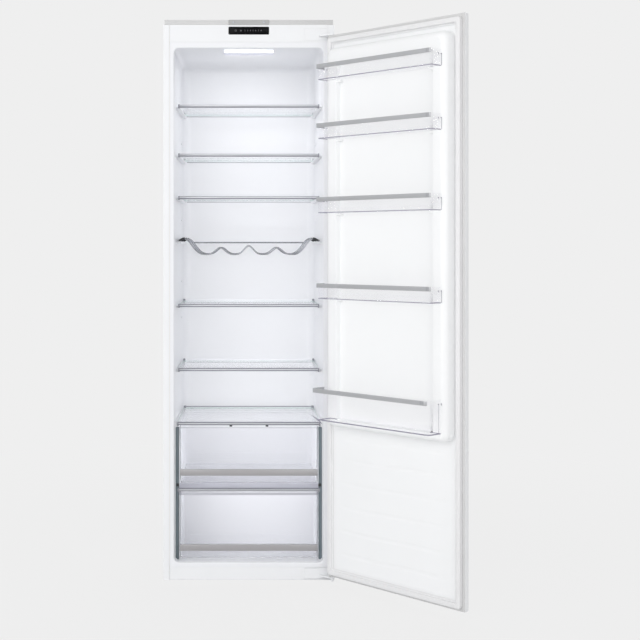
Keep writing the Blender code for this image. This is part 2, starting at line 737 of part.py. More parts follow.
def make_hinges():
    y = deep(HINGE_DEPTH)
    upper = box(
        "upper_hinge", (HINGE_PLATE_LEFT + 3 * MM, deep(1.8 * MM), 1707 * MM),
        (HINGE_PLATE_RIGHT, deep(4.3 * MM), 1740 * MM), "zinc_steel",
    )
    boolean(upper, hinge_arm("upper_arm", 3 * MM, UPPER_ARM_LOW), "UNION")
    pin = cylinder("upper_pin", HINGE_X, y, HINGE_PIN, 1703 * MM, UPPER_ARM_LOW + 1 * MM)
    boolean(upper, pin, "UNION")
    lower = box(
        "lower_hinge", (HINGE_PLATE_LEFT, deep(0.2 * MM), 4 * MM),
        (HINGE_PLATE_RIGHT, deep(3.2 * MM), 37 * MM), "zinc_steel",
    )
    boolean(lower, hinge_arm("lower_arm", 1.8 * MM, LOWER_ARM_LOW), "UNION")
    boolean(lower, cylinder("lower_pin", HINGE_X, y, HINGE_PIN, 3 * MM, 33 * MM), "UNION")
    left, low, high = HINGE_NOTCH
    arm_top = UPPER_ARM_LOW + ARM_THICK + 2 * GAP
    cover = [
        (left + GAP, low + GAP), (222 * MM, low + GAP), (222 * MM, arm_top),
        (FLANGE_HALF, arm_top), (FLANGE_HALF, high - GAP), (left + GAP, high - GAP),
    ]
    plate("hinge_cover", [cover], deep(0), deep(1.5 * MM), "XZ", "white_steel")


def trim_profile(front, top):
    """A front trim's section: a C that wraps the edge of the glass."""
    back = front + TRIM_DEEP
    face = front + TRIM_FACE
    slot_top = top - GLASS_SEAT + GAP
    slot_low = top - GLASS_SEAT - GLASS_THICK - GAP
    low = top - TRIM_TALL
    corners = [
        (front, low), (back, low), (back, slot_low), (face, slot_low), (face, slot_top),
        (back, slot_top), (back, top), (front, top),
    ]
    return [(deep(y), z) for y, z in corners]


def make_shelf(glass_name, trim_name, front, back, top, parent):
    box(
        glass_name, (-SHELF_HALF, deep(front + TRIM_FACE) + GAP, top - GLASS_SEAT - GLASS_THICK),
        (SHELF_HALF, deep(back), top - GLASS_SEAT), "glass", parent,
    )
    plate(
        trim_name, [trim_profile(front, top)], -SHELF_HALF, SHELF_HALF, "YZ", "silver_trim", parent
    )


def make_shelves():
    for number, top in enumerate(SHELF_TOPS, start=1):
        axis = carrier(f"shelf_{number}_axis", (0, deep(SHELF_FRONT), top))
        make_shelf(
            f"shelf_glass_{number}", f"shelf_trim_{number}", SHELF_FRONT, SHELF_BACK, top, axis
        )
    axis = carrier("crisper_lid_axis", (0, deep(CRISPER_FRONT), CRISPER_TOP))
    make_shelf(
        "crisper_lid_glass", "crisper_lid_trim", CRISPER_FRONT, CRISPER_LID_BACK, CRISPER_TOP, axis
    )


def make_crisper_guides():
    """Side frames with a rail for each drawer and a groove for the plate between them."""
    rail = 4 * MM
    low_rail = LOWER_DRAWER[0] - GAP
    high_rail = UPPER_DRAWER[0] - GAP
    inner, outer, ledge, low = GUIDE_INNER, GUIDE_OUTER, GUIDE_LEDGE, OPENING_FLOOR + GAP
    outline = rounded([
        (outer, low, OPENING_RADIUS), (outer, GUIDE_TOP, 0), (inner, GUIDE_TOP, 0),
        (inner, high_rail, 0), (ledge, high_rail, 0), (ledge, high_rail - rail, 0),
        (inner, high_rail - rail, 0), (inner, DIVIDER_HIGH + GAP, 0),
        (inner + rail, DIVIDER_HIGH + GAP, 0), (inner + rail, DIVIDER_LOW - GAP, 0),
        (inner, DIVIDER_LOW - GAP, 0), (inner, low_rail, 0), (ledge, low_rail, 0), (ledge, low, 0),
    ])
    mirrored = [(-x, z) for x, z in reversed(outline)]
    near, far = deep(GUIDE_FRONT), deep(GUIDE_BACK)
    plate("crisper_guide_right", [outline], near, far, "XZ", "smoked_plastic")
    plate("crisper_guide_left", [mirrored], near, far, "XZ", "smoked_plastic")
    half = inner + rail - GAP
    box(
        "drawer_divider", (-half, deep(CRISPER_FRONT), DIVIDER_LOW),
        (half, deep(GUIDE_BACK), DIVIDER_HIGH), "clear_plastic", bevel=1.5 * MM,
    )


def make_drawer(name, size, band_low):
    """An open tub with a metal pull band along its front."""
    low, high, back = size
    axis = carrier(f"{name}_axis", (0, deep(CRISPER_FRONT), low))
    sections = []
    for step in range(4):
        angle = math.radians(90 * step / 3)
        inset = DRAWER_DRAFT + DRAWER_FLOOR_RADIUS * (1 - math.sin(angle))
        sections.append((low + DRAWER_FLOOR_RADIUS * (1 - math.cos(angle)), inset))
    sections.append((high, 0))
    tub = loft(
        name,
        [
            (
                z, -DRAWER_HALF + inset, DRAWER_HALF - inset, deep(CRISPER_FRONT) + inset,
                deep(back) - inset, DRAWER_CORNER,
            )
            for z, inset in sections
        ],
        "Z", "clear_plastic", axis, capped=(True, False),
    )
    wall(tub, DRAWER_WALL)
    back_face = deep(CRISPER_FRONT) - GAP
    face = back_face - BAND_DEEP
    top = band_low + BAND_TALL
    profile = [
        (face, band_low), (face + BAND_THICK, band_low), (face + BAND_THICK, top - BAND_THICK),
        (back_face, top - BAND_THICK), (back_face, top), (face, top),
    ]
    plate(f"{name}_band", [profile], -BAND_HALF, BAND_HALF, "YZ", "taupe_band", axis)


def rack_height(x):
    """The wave of the bottle rack: four cradles, with a hump over each side rail."""
    across = abs(x)
    outer_cradle = 1.5 * RACK_PITCH
    if across >= RACK_HUMP_X:
        part = (across - RACK_HUMP_X) / (RACK_HALF - RACK_HUMP_X)
        return RACK_HUMP + (RACK_LEVEL - RACK_HUMP) * (1 - math.cos(math.pi * part)) / 2
    if across >= outer_cradle:
        part = (across - outer_cradle) / (RACK_HUMP_X - outer_cradle)
        return RACK_VALLEY + (RACK_HUMP - RACK_VALLEY) * (1 - math.cos(math.pi * part ** 1.15)) / 2
    part = (across % RACK_PITCH) / RACK_PITCH * 2 - 1
    peak = RACK_MIDDLE_PEAK if across < RACK_PITCH / 2 else RACK_PEAK
    return RACK_VALLEY + (peak - RACK_VALLEY) * part ** 2


def make_bottle_rack():
    """Three wavy wires on two side rails, with a straight bar across the back."""
    carrier_axis = carrier("bottle_rack_axis", (0, deep(RACK_FRONT), RACK_LEVEL))
    count = round(2 * RACK_HALF / RACK_STEP)
    across = [-RACK_HALF + 2 * RACK_HALF * i / count for i in range(count + 1)]
    rows = (RACK_FRONT, (RACK_FRONT + RACK_BACK) / 2, RACK_BACK)
    wires = []
    for number, row in enumerate(rows, start=1):
        points = [(x, deep(row), rack_height(x)) for x in across]
        look = "chrome" if number == 1 else None
        name = "bottle_rack" if number == 1 else f"rack_wire_{number}"
        wires.append(rod(name, points, RACK_ROD, look, carrier_axis))
    for name, x in (("left", -RACK_HALF), ("right", RACK_HALF)):
        ends = [(x, deep(RACK_FRONT - 4 * MM), RACK_LEVEL), (x, deep(RACK_BACK + 3 * MM), RACK_LEVEL)]
        wires.append(rod(f"rack_rail_{name}", ends, RACK_ROD, None, carrier_axis))
    bar = [(x, deep(RACK_BACK + 1 * MM), RACK_BAR) for x in (-RACK_BAR_HALF, RACK_BAR_HALF)]
    wires.append(rod("rack_bar", bar, RACK_ROD, None, carrier_axis))
    rack, *others = [solid_mesh(wire) for wire in wires]
    for other in others:
        boolean(rack, other, "UNION")


def door_form(name, inset, root, parent):
    """The raised inside of the door, shrunk by inset: a pad, the dyke on it and the dyke's recess."""
    edge = DYKE_BASE_HALF - inset
    top_edge = DYKE_TOP_HALF - inset
    low, high = DYKE_LOW + inset, DYKE_HIGH - inset
    crest = DYKE_CREST - inset
    radius = DYKE_RADIUS - inset

    def rect(y, half, shift):
        return (y, DOOR_MIDDLE - half, DOOR_MIDDLE + half, low + shift, high - 1.5 * shift, radius)

    dyke = loft(
        name,
        [
            rect(root, edge, 0), rect(DOOR_PAD, edge, 0),
            rect(crest - 5 * MM, top_edge + 1 * MM, DYKE_SLOPE - 3 * MM),
            rect(crest - 1.5 * MM, top_edge - 1 * MM, DYKE_SLOPE - 1 * MM),
            rect(crest, top_edge - 4 * MM, DYKE_SLOPE),
        ],
        "Y", parent=parent,
    )
    border = GASKET_BORDER + GASKET_WIDTH + 0.6 * MM
    left, right = DOOR_LEFT + border + inset, DOOR_RIGHT - border - inset
    floor = DOOR_LOW + border + inset
    ceiling = DOOR_HIGH - GASKET_TOP_BORDER - GASKET_WIDTH - 0.6 * MM - inset
    pad = loft(
        f"{name}_pad",
        [
            (root, left, right, floor, ceiling, 6 * MM),
            (DOOR_PAD - inset - 2 * MM, left, right, floor, ceiling, 6 * MM),
            (DOOR_PAD - inset, left + 2 * MM, right - 2 * MM, floor + 2 * MM, ceiling - 2 * MM, 6 * MM),
        ],
        "Y", parent=parent,
    )
    side = RECESS_HALF + inset
    recess = loft(
        f"{name}_recess",
        [
            (y, DOOR_MIDDLE - side, DOOR_MIDDLE + side, RECESS_LOW - inset, RECESS_HIGH + inset, 3 * MM)
            for y in (RECESS_FLOOR - inset, DYKE_CREST + 10 * MM)
        ],
        "Y", parent=parent,
    )
    boolean(dyke, pad, "UNION")
    boolean(dyke, recess)
    return dyke


def pan_sections(inset, face, radius, rim):
    """Sections of the door's outer pan, whose face turns into its sides on a radius."""
    sections = []
    for step in range(4):
        angle = math.radians(90 * step / 3)
        sections.append((face + radius * (1 - math.cos(angle)), inset + radius * (1 - math.sin(angle))))
    sections.append((rim, inset))
    return [
        (y, DOOR_LEFT + d, DOOR_RIGHT - d, DOOR_LOW + d, DOOR_HIGH - d, 4 * MM) for y, d in sections
    ]


def make_door(axis):
    pan = loft(
        "door_outer_panel", pan_sections(0, DOOR_FACE, DOOR_EDGE_RADIUS, DOOR_RIM - FLANGE_THICK),
        "Y", "white_steel", axis, capped=(True, False),
    )
    wall(pan, DOOR_SHEET)
    clear = DOOR_SHEET + GAP
    foam_rim = DOOR_RIM - FLANGE_THICK - GAP
    foam = loft(
        "door_foam", pan_sections(clear, DOOR_FACE + clear, DOOR_EDGE_RADIUS - 1 * MM, foam_rim), "Y",
        "foam", axis,
    )
    boolean(foam, door_form("foam_form", LINER_WALL + GAP, foam_rim - 3 * MM, axis), "UNION")
    liner = box(
        "door_inner_liner", (DOOR_LEFT, DOOR_RIM - LINER_WALL, DOOR_LOW), (DOOR_RIGHT, DOOR_RIM, DOOR_HIGH),
        "white_liner", axis,
    )
    boolean(liner, door_form("outer_form", 0, DOOR_RIM - 0.5 * LINER_WALL, axis), "UNION")
    boolean(liner, door_form("inner_form", LINER_WALL, DOOR_RIM - 5 * LINER_WALL, axis))
    boolean(liner, make_lugs(axis), "UNION")
    for name, low, high in (
        ("upper", 1700 * MM, DOOR_HIGH + 5 * MM), ("lower", DOOR_LOW - 5 * MM, 36 * MM)
    ):
        hole = cylinder(f"{name}_pin_hole", 0, 0, HINGE_HOLE, low, high, parent=axis)
        boolean(pan, hole)
        boolean(foam, hole)
    left, right = DOOR_LEFT + GASKET_BORDER, DOOR_RIGHT - GASKET_BORDER
    low, high = DOOR_LOW + GASKET_BORDER, DOOR_HIGH - GASKET_TOP_BORDER
    band = GASKET_WIDTH
    outer = rounded(rectangle(left, right, low, high, 8 * MM))
    inner = rounded(rectangle(left + band, right - band, low + band, high - band, 4 * MM))
    plate("door_gasket", [outer, inner], DOOR_RIM + GAP, GASKET_CREST, "XZ", "gasket_rubber", axis)


def make_lugs(axis):
    """Small blocks on the recess's side walls, two under each of the upper bins."""
    shape = bmesh.new()
    reach = RECESS_HALF + LINER_WALL / 2
    for low, *_ in BINS[:-1]:
        top = low - GAP
        for near, far in ((LUG_HALF, reach), (-reach, -LUG_HALF)):
            add_box(
                shape, (DOOR_MIDDLE + near, BIN_TAIL_BACK, top - LUG_TALL),
                (DOOR_MIDDLE + far, DYKE_CREST - 2 * MM, top),
            )
    return add_object("lugs", as_mesh("lugs", shape), None, axis)


def bin_outline(front, radius, front_lean=0.0, hinge_lean=0.0):
    """A bin seen from above: a wide front part, and a tail that fits between the dyke's sides."""
    hinge, free, tail = BIN_HALF - hinge_lean, -BIN_HALF + front_lean / 4, BIN_TAIL_HALF
    face = front - front_lean
    corners = [
        (hinge, BIN_BACK, 0), (hinge, face, BIN_HINGE_CORNER), (free, face, radius),
        (free, BIN_BACK, 0), (-tail, BIN_BACK, 0), (-tail, BIN_TAIL_BACK, 0),
        (tail, BIN_TAIL_BACK, 0), (tail, BIN_BACK, 0),
    ]
    return [(DOOR_MIDDLE + x, y) for x, y in rounded(corners, 4)]


def bin_trim_outline(front, radius):
    """The strip on a bin's front: a return on the hinge's side, half the corner on the other."""
    lines = []
    for out in (GAP + BIN_TRIM_THICK, GAP):
        line = [(BIN_HALF + out, BIN_TRIM_BACK), (BIN_HALF + out, front + out)]
        for step in range(4):
            angle = math.radians(90 + 15 * step)
            line.append((
                radius - BIN_HALF + (radius + out) * math.cos(angle),
                front - radius + (radius + out) * math.sin(angle),
            ))
        lines.append([(DOOR_MIDDLE + x, y) for x, y in line])
    return lines[0] + lines[1][::-1]


def make_bin(number, low, high, front, front_lean, hinge_lean, radius, axis):
    """A clear open tub, its tail walls lower than the rest."""
    name = f"door_bin_{number}"
    shape = bmesh.new()
    outline = bin_outline(front, radius, front_lean, hinge_lean)
    floor = [shape.verts.new((x, y, low)) for x, y in outline]
    rim = []
    for x, y in bin_outline(front, radius):
        in_tail = y < BIN_BACK - GAP
        rim.append(shape.verts.new((x, y, low + BIN_TAIL_TALL if in_tail else high)))
    count = len(floor)
    for i in range(count):
        j = (i + 1) % count
        shape.faces.new((floor[i], floor[j], rim[j], rim[i]))
    shape.faces.new(list(reversed(floor)))
    bmesh.ops.recalc_face_normals(shape, faces=shape.faces)
    tub = add_object(name, as_mesh(name, shape), "clear_plastic", axis)
    wall(tub, BIN_WALL)
    top = high + BIN_TRIM_TOP
    outline = bin_trim_outline(front, radius)
    plate(f"bin_trim_{number}", [outline], top - BIN_TRIM_TALL, top, "XY", "silver_trim", axis)


def main():
    clear_scene()
    make_casing()
    make_base()
    make_inner_liner()
    make_foam()
    make_front_trim()
    make_cold_circuit()
    make_hinges()
    make_shelves()
    make_crisper_guides()
    make_drawer("upper_drawer", UPPER_DRAWER, UPPER_BAND_LOW)
    make_drawer("lower_drawer", LOWER_DRAWER, LOWER_BAND_LOW)
    make_bottle_rack()
    door_axis = carrier("door_hinge_axis", (HINGE_X, deep(HINGE_DEPTH), 0), DOOR_OPEN_ANGLE)
    make_door(door_axis)
    for number, sizes in enumerate(BINS, start=1):
        axis = carrier(f"door_bin_{number}_axis", (DOOR_MIDDLE, BIN_BACK, sizes[0]), parent=door_axis)
        make_bin(number, *sizes, axis)


main()
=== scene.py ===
"""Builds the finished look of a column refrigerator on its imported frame.

Metres, +Z up, and the cabinet's front faces -Y. Door pieces are modelled in the door's own frame: X runs
from the hinge pins towards the cabinet's right, Y from the furniture side to the food side.
"""

import json
import math

import bmesh
import bpy
from bpy.props import FloatProperty, FloatVectorProperty, IntProperty, PointerProperty
from mathutils import Matrix, Vector

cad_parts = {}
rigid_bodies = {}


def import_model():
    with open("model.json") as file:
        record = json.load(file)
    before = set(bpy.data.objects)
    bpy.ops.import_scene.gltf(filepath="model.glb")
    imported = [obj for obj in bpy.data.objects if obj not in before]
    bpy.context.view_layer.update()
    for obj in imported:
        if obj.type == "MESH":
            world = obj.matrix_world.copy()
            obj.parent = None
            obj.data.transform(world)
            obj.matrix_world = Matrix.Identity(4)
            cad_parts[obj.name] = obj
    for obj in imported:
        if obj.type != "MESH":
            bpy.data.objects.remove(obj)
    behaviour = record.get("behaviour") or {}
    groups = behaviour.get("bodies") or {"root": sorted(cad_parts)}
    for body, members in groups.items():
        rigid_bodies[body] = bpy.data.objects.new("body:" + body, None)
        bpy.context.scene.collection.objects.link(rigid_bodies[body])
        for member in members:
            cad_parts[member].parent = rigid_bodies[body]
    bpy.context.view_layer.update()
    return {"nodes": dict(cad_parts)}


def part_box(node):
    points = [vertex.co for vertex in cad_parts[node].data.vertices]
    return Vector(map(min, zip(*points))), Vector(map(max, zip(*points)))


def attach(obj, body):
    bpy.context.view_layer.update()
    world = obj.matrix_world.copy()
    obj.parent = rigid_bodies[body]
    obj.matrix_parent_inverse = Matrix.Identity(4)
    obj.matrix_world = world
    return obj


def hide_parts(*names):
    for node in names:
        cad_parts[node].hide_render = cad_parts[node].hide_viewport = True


bl_info = {
    "name": "Column Refrigerator",
    "version": (1, 0, 0),
    "blender": (4, 5, 0),
    "location": "3D View > Sidebar > Refrigerator",
    "description": "Builds the finishes, the detailed pieces and the studio of a column refrigerator",
    "category": "Object",
}

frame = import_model()

MM = 0.001
FRONT = -0.25
BACK = 0.25
HINGE_X = 262 * MM
HINGE_Y = -275 * MM
OPEN_ANGLE = math.radians(132.2)
DOOR = Matrix.Translation((HINGE_X, HINGE_Y, 0)) @ Matrix.Rotation(OPEN_ANGLE, 4, "Z")
DOOR_MIDDLE = -HINGE_X
SIDES = (-1, 1)
SHELVES = (1, 2, 3, 4, 5)
MERGE = 1e-6

# How far a bin's front and hinge-side wall lean in at the floor, and the radius of its free corner.
SMALL_BIN = (4 * MM, 1 * MM, 6 * MM)
LARGE_BIN = (9 * MM, 14 * MM, 14 * MM)
BIN_FORMS = {1: SMALL_BIN, 2: SMALL_BIN, 3: SMALL_BIN, 4: SMALL_BIN, 5: LARGE_BIN}
BIN_HINGE_END = 227 * MM
BIN_FREE_END = -222 * MM


def linear(code):
    """A hex sRGB colour as linear red, green and blue."""
    channels = [int(code[i:i + 2], 16) / 255 for i in (1, 3, 5)]
    return tuple(c / 12.92 if c <= 0.04045 else ((c + 0.055) / 1.055) ** 2.4 for c in channels)


def length(name, description, default):
    return FloatProperty(name=name, description=description, default=default, min=0.0, unit="LENGTH")


def colour(name, description, code):
    return FloatVectorProperty(
        name=name, description=description, default=linear(code), size=3, min=0.0, max=1.0,
        subtype="COLOR",
    )


class RefrigeratorSizes(bpy.types.PropertyGroup):
    """Sizes of the refrigerator's details."""

    cavity_radius: length("Cavity radius", "Radius along the cavity's long edges", 16 * MM)
    back_radius: length("Back radius", "Radius where the side walls turn into the back wall", 41 * MM)
    step_radius: length("Step radius", "Radius on the step over the compressor's bay", 8 * MM)
    crest_radius: length("Crest radius", "Radius on the outer edge of the door's raised frame", 22 * MM)
    groove_depth: length("Groove depth", "Depth of the grooves in the door liner's lower panel", 0.7 * MM)
    groove_width: length("Groove width", "Width of each of those grooves", 9 * MM)
    glass_corner: length("Glass corner", "Radius on a glass shelf's corners", 5 * MM)
    drawer_wall: length("Drawer wall", "Wall thickness of the crisper drawers", 2.4 * MM)
    bin_wall: length("Bin wall", "Wall thickness of the door bins", 2.2 * MM)
    rack_wire: length("Rack wire", "Radius of the bottle rack's wires", 2.5 * MM)
    coil_tube: length("Coil tube", "Radius of the condenser's tube", 2.5 * MM)
    coil_wire: length("Coil wire", "Radius of the wires welded across the condenser", 0.7 * MM)
    coil_wires: IntProperty(
        name="Coil wires", description="Wires across the condenser", default=30, min=2
    )


class RefrigeratorColours(bpy.types.PropertyGroup):
    """Colours of the refrigerator's finishes."""

    painted_steel: colour("Painted steel", "Powder coat on the casing's sheets", "#F2F3F5")
    liner: colour("Liner", "Vacuum-formed liner of the cabinet", "#F1F2F5")
    door_liner: colour("Door liner", "Vacuum-formed liner of the door", "#F9FAFB")
    gasket: colour("Gasket", "Soft door gasket", "#EEEEEF")
    silver_trim: colour("Silver trim", "Silver paint on the door bins' strips", "#B3B4B7")
    # Painted light on the shelves' strips: their faces take a lighter silver that carries a painted
    # highlight. The darker grey is painted shade on the strips' lips, the beads at their backs and the
    # bins' notches, and it also colours their end caps.
    shelf_trim: colour("Shelf trim", "Silver paint on the face of the shelves' strips", "#D6D7DB")
    painted_shade_trim: colour("Dark trim", "Darker lips of the shelves' strips", "#93949B")
    pull_band: colour("Pull band", "Anodised band on the drawers", "#A9A7A9")
    # The guides' blue-grey is painted shade: it stands for the shade in the narrow gaps beside the
    # drawers.
    guide: colour("Guide", "Smoked frames beside the drawers", "#667177")
    glass: colour("Glass", "Tint of the glass shelves", "#EEF4F4")
    clear_plastic: colour("Clear plastic", "Tint of drawers and bins", "#F7F8FC")
    # The divider's grey is painted shade: it stands for the shade under the upper drawer, and it also
    # colours the drawers' rims as painted shade.
    divider: colour("Divider", "Grey plate between the two drawers", "#BEBEC7")
    seal_strip: colour("Seal strip", "Strip that closes the gap over the cabinet", "#DADADA")
    bracket: colour("Bracket", "Fixing bracket over the display", "#B4B4B4")
    room: colour("Room", "Floor and backdrop", "#EFEFEF")


def sizes():
    return bpy.context.scene.refrigerator_sizes


def colours():
    return bpy.context.scene.refrigerator_colours


# Materials

def add(tree, kind, inputs, **settings):
    """Adds a shader node with its settings, and fills or links its inputs."""
    node = tree.nodes.new(f"ShaderNode{kind}")
    for name, value in settings.items():
        setattr(node, name, value)
    for name, value in inputs.items():
        if isinstance(value, bpy.types.NodeSocket):
            tree.links.new(value, node.inputs[name])
        else:
            node.inputs[name].default_value = value
    return node


def tone(base, change):
    """A colour from a hex code, or else the base made lighter or darker by a factor."""
    if isinstance(change, str):
        return (*linear(change), 1)
    return (*(min(1.0, channel * change) for channel in base), 1)


def two_toned(tree, shader, share, light, dark):
    """Gives a shader two tones, mixed by a share."""
    blend = add(tree, "Mix", {0: share, 6: light, 7: dark}, data_type="RGBA")
    tree.links.new(blend.outputs[2], shader.inputs["Base Color"])


def glossed(tree, shader, height, low, high, start=0.0, end=1.0):
    """Gives a shader a roughness between two values, by a pattern's height from start to end."""
    spread = add(tree, "MapRange", {
        "Value": height, "From Min": start, "From Max": end, "To Min": low, "To Max": high,
    })
    tree.links.new(spread.outputs["Result"], shader.inputs["Roughness"])


def pattern(tree, place, kind, scale, detail=0.0, turn=0.0):
    """A noise's or a cell pattern's height. Three scales stretch it, along axes turned about Z."""
    if isinstance(scale, tuple):
        mapping = {"Vector": place, "Scale": scale, "Rotation": (0, 0, turn)}
        place, scale = add(tree, "Mapping", mapping).outputs["Vector"], 1.0
    texture = add(tree, f"Tex{kind}", {"Vector": place, "Scale": scale, "Detail": detail})
    return texture.outputs["Fac" if kind == "Noise" else "Distance"]


def uneven_gloss(tree, shader, place, scale, low, high):
    """Roughness that wanders between two values."""
    glossed(tree, shader, pattern(tree, place, "Noise", scale, 3.0), low, high, 0.3, 0.7)


def relief(tree, shader, height, depth, strength):
    """Turns a pattern's height into a bump of that depth in millimetres."""
    bump = add(tree, "Bump", {"Height": height, "Distance": depth * MM, "Strength": strength})
    tree.links.new(bump.outputs["Normal"], shader.inputs["Normal"])


def insides(material):
    """A material's node tree, its shader, and its Object coordinates."""
    tree = material.node_tree
    place = tree.nodes.get("Texture Coordinate") or add(tree, "TexCoord", {})
    return tree, tree.nodes["Principled BSDF"], place.outputs["Object"]


def surface(name, base, mottle=None, gloss=None, grain=None, **sockets):
    """A material whose colour, gloss and relief are each a little uneven.

    mottle is a noise's scale and its two tones. gloss is a noise's scale and two roughnesses. grain is a
    pattern's kind, scale and detail, and its relief's depth and strength.
    """
    base = linear(base) if isinstance(base, str) else base
    material = bpy.data.materials.new(name)
    material.use_nodes = True
    tree, shader, place = insides(material)
    shader.inputs["Base Color"].default_value = (*base, 1)
    for socket, value in sockets.items():
        shader.inputs[socket.replace("_", " ")].default_value = value
    if mottle:
        scale, light, dark = mottle
        wander = pattern(tree, place, "Noise", scale, 4.0)
        two_toned(tree, shader, wander, tone(base, light), tone(base, dark))
    if gloss:
        uneven_gloss(tree, shader, place, *gloss)
    if grain:
        relief(tree, shader, pattern(tree, place, *grain[:3]), *grain[3:])
    return material


def streaked(name, base, scale, detail, light, dark, depth, strength, turn=0.0, **more):
    """A surface whose long streaks change both its colour and its relief."""
    material = surface(name, base, **more)
    tree, shader, place = insides(material)
    streaks = pattern(tree, place, "Noise", scale, detail, turn)
    two_toned(tree, shader, streaks, tone(base, light), tone(base, dark))
    relief(tree, shader, streaks, depth, strength)
    return material


def powder_coated_steel():
    """Sheet steel with a baked polyester powder coat, whose orange peel is about 2 mm across."""
    return surface(
        "powder_coated_steel", colours().painted_steel, (9, 1, 0.965), (30, 0.30, 0.42),
        ("Noise", 520, 1.0, 0.05, 0.5), Specular_IOR_Level=0.45,
    )


def vacuum_formed_styrene(name, base):
    """High-impact polystyrene sheet with a glossy cap layer, drawn over a mould: soft 25 mm waves."""
    return surface(
        name, base, (5, 1, 0.98), (8, 0.28, 0.38), ("Noise", 40, 0.0, 0.1, 0.2), IOR=1.59,
        Specular_IOR_Level=0.4,
    )


def let_light_through(material, facing_on, edge_on):
    """Mixes in what is behind a clear wall: least where it's seen edge on, and all of it for lamps."""
    tree, shader, _ = insides(material)
    edge = add(tree, "LayerWeight", {"Blend": 0.5})
    share = add(tree, "MapRange", {
        "Value": edge.outputs["Facing"], "To Min": facing_on, "To Max": edge_on,
    }).outputs["Result"]
    rays = add(tree, "LightPath", {}).outputs
    lamps = {0: rays["Is Shadow Ray"], 1: rays["Is Diffuse Ray"]}
    passes = add(tree, "Math", lamps, operation="MAXIMUM").outputs[0]
    stops = add(tree, "Math", {0: 1.0, 1: passes}, operation="SUBTRACT").outputs[0]
    share = add(tree, "Math", {0: share, 1: stops}, operation="MULTIPLY").outputs[0]
    clear = add(tree, "BsdfTransparent", {"Color": (0.998, 0.997, 1.0, 1)})
    blend = add(tree, "MixShader", {0: share, 1: clear.outputs[0], 2: shader.outputs[0]})
    tree.links.new(blend.outputs[0], tree.nodes["Material Output"].inputs["Surface"])
    return material


def crystal_styrene(name, facing_on, edge_on):
    """Injection-moulded clear polystyrene, with faint flow lines that run along the mould."""
    material = surface(
        name, colours().clear_plastic, None, (14, 0.015, 0.07),
        ("Noise", (12, 12, 90), 2.0, 0.12, 0.35), IOR=1.49, Transmission_Weight=1.0,
        Specular_IOR_Level=0.5,
    )
    return let_light_through(material, facing_on, edge_on)


def edge_of_styrene():
    """The edges of clear polystyrene in a lilac grey: painted shade that stands for the light the sheet
    gathers and bends at its edges.
    """
    return surface(
        "styrene_edge_shade", "#A3A1B0", (60, "#A8A6B5", "#9795A5"), (90, 0.12, 0.25), IOR=1.59,
        Transmission_Weight=0.3,
    )


def frosted_styrene(name, base):
    """Polystyrene with a fine spark-eroded mould texture, which scatters the light."""
    material = surface(
        name, base, None, (18, 0.45, 0.6), ("Noise", 1400, 1.0, 0.03, 0.5), IOR=1.49,
        Transmission_Weight=0.2,
    )
    return let_light_through(material, 0.85, 1.0)


def float_glass():
    """Tempered float glass 4 mm thick, a little green, with faint wipe marks."""
    material = surface("float_glass", colours().glass, IOR=1.45, Transmission_Weight=1.0)
    tree, shader, place = insides(material)
    wiped = add(tree, "Mapping", {"Vector": place, "Scale": (1, 3, 1)}).outputs["Vector"]
    uneven_gloss(tree, shader, wiped, 9, 0.0, 0.035)
    return let_light_through(material, 0.1, 0.4)


def ground_glass_edge():
    """The ground and seamed edge of a glass shelf, which shows the glass's green."""
    return surface(
        "ground_glass_edge", "#BFD4CF", None, (60, 0.3, 0.5), ("Noise", 2500, 0.0, 0.02, 0.5),
        IOR=1.52, Transmission_Weight=0.35,
    )


def silver_painted_abs(name, base, turn=0.0):
    """Extruded ABS strip with satin silver paint, brushed along its length with 0.5 mm lines."""
    return streaked(
        name, base, (6, 2200, 2200), 2.0, 1.06, 0.93, 0.01, 0.4, turn, gloss=(25, 0.30, 0.40),
        Metallic=0.35,
    )


def anodised_band():
    """Folded aluminium strip, hairline brushed and anodised a warm grey."""
    return streaked(
        "anodised_band", colours().pull_band, (5, 3000, 3000), 3.0, 1.08, 0.90, 0.012, 0.4,
        gloss=(20, 0.33, 0.43), Metallic=0.45,
    )


def chromed_wire():
    """Drawn steel wire, bright chrome plated, with the plating's slight unevenness."""
    return surface(
        "chromed_wire", "#A9ABAF", (40, "#B2B4B8", "#96989D"), (90, 0.10, 0.24), Metallic=1.0
    )


def shaded_guide_abs():
    """Moulded ABS frame in a dark blue-grey, painted shade of the narrow gap beside the drawers, painted
    paler beside the liner, with a fine mould grain.
    """
    base = colours().guide
    material = surface(
        "shaded_guide_abs", base, (16, 1, 0.9), (45, 0.35, 0.5), ("Voronoi", 900, 0.0, 0.03, 0.4),
        Specular_IOR_Level=0.4,
    )
    tree, shader, place = insides(material)
    across = add(tree, "SeparateXYZ", {"Vector": place}).outputs["X"]
    across = add(tree, "Math", {0: across}, operation="ABSOLUTE").outputs[0]
    rim = add(tree, "MapRange", {"Value": across, "From Min": 224.5 * MM, "From Max": 228 * MM})
    inner = shader.inputs["Base Color"].links[0].from_socket
    two_toned(tree, shader, rim.outputs["Result"], inner, tone(base, 1.25))
    return material


def soft_vinyl():
    """Extruded soft PVC of the magnetic gasket, matt, with faint die lines and a little dust."""
    return surface(
        "soft_vinyl", colours().gasket, (28, 1, 0.93), (40, 0.5, 0.65),
        ("Noise", 900, 2.0, 0.04, 0.5), Specular_IOR_Level=0.3,
    )


def foamed_strip():
    """Co-extruded PVC strip that bridges the gap over the cabinet, finely pitted."""
    return surface(
        "foamed_strip", colours().seal_strip, (35, 1, 0.94), (50, 0.55, 0.7),
        ("Voronoi", 1100, 0.0, 0.05, 0.5), Specular_IOR_Level=0.25,
    )


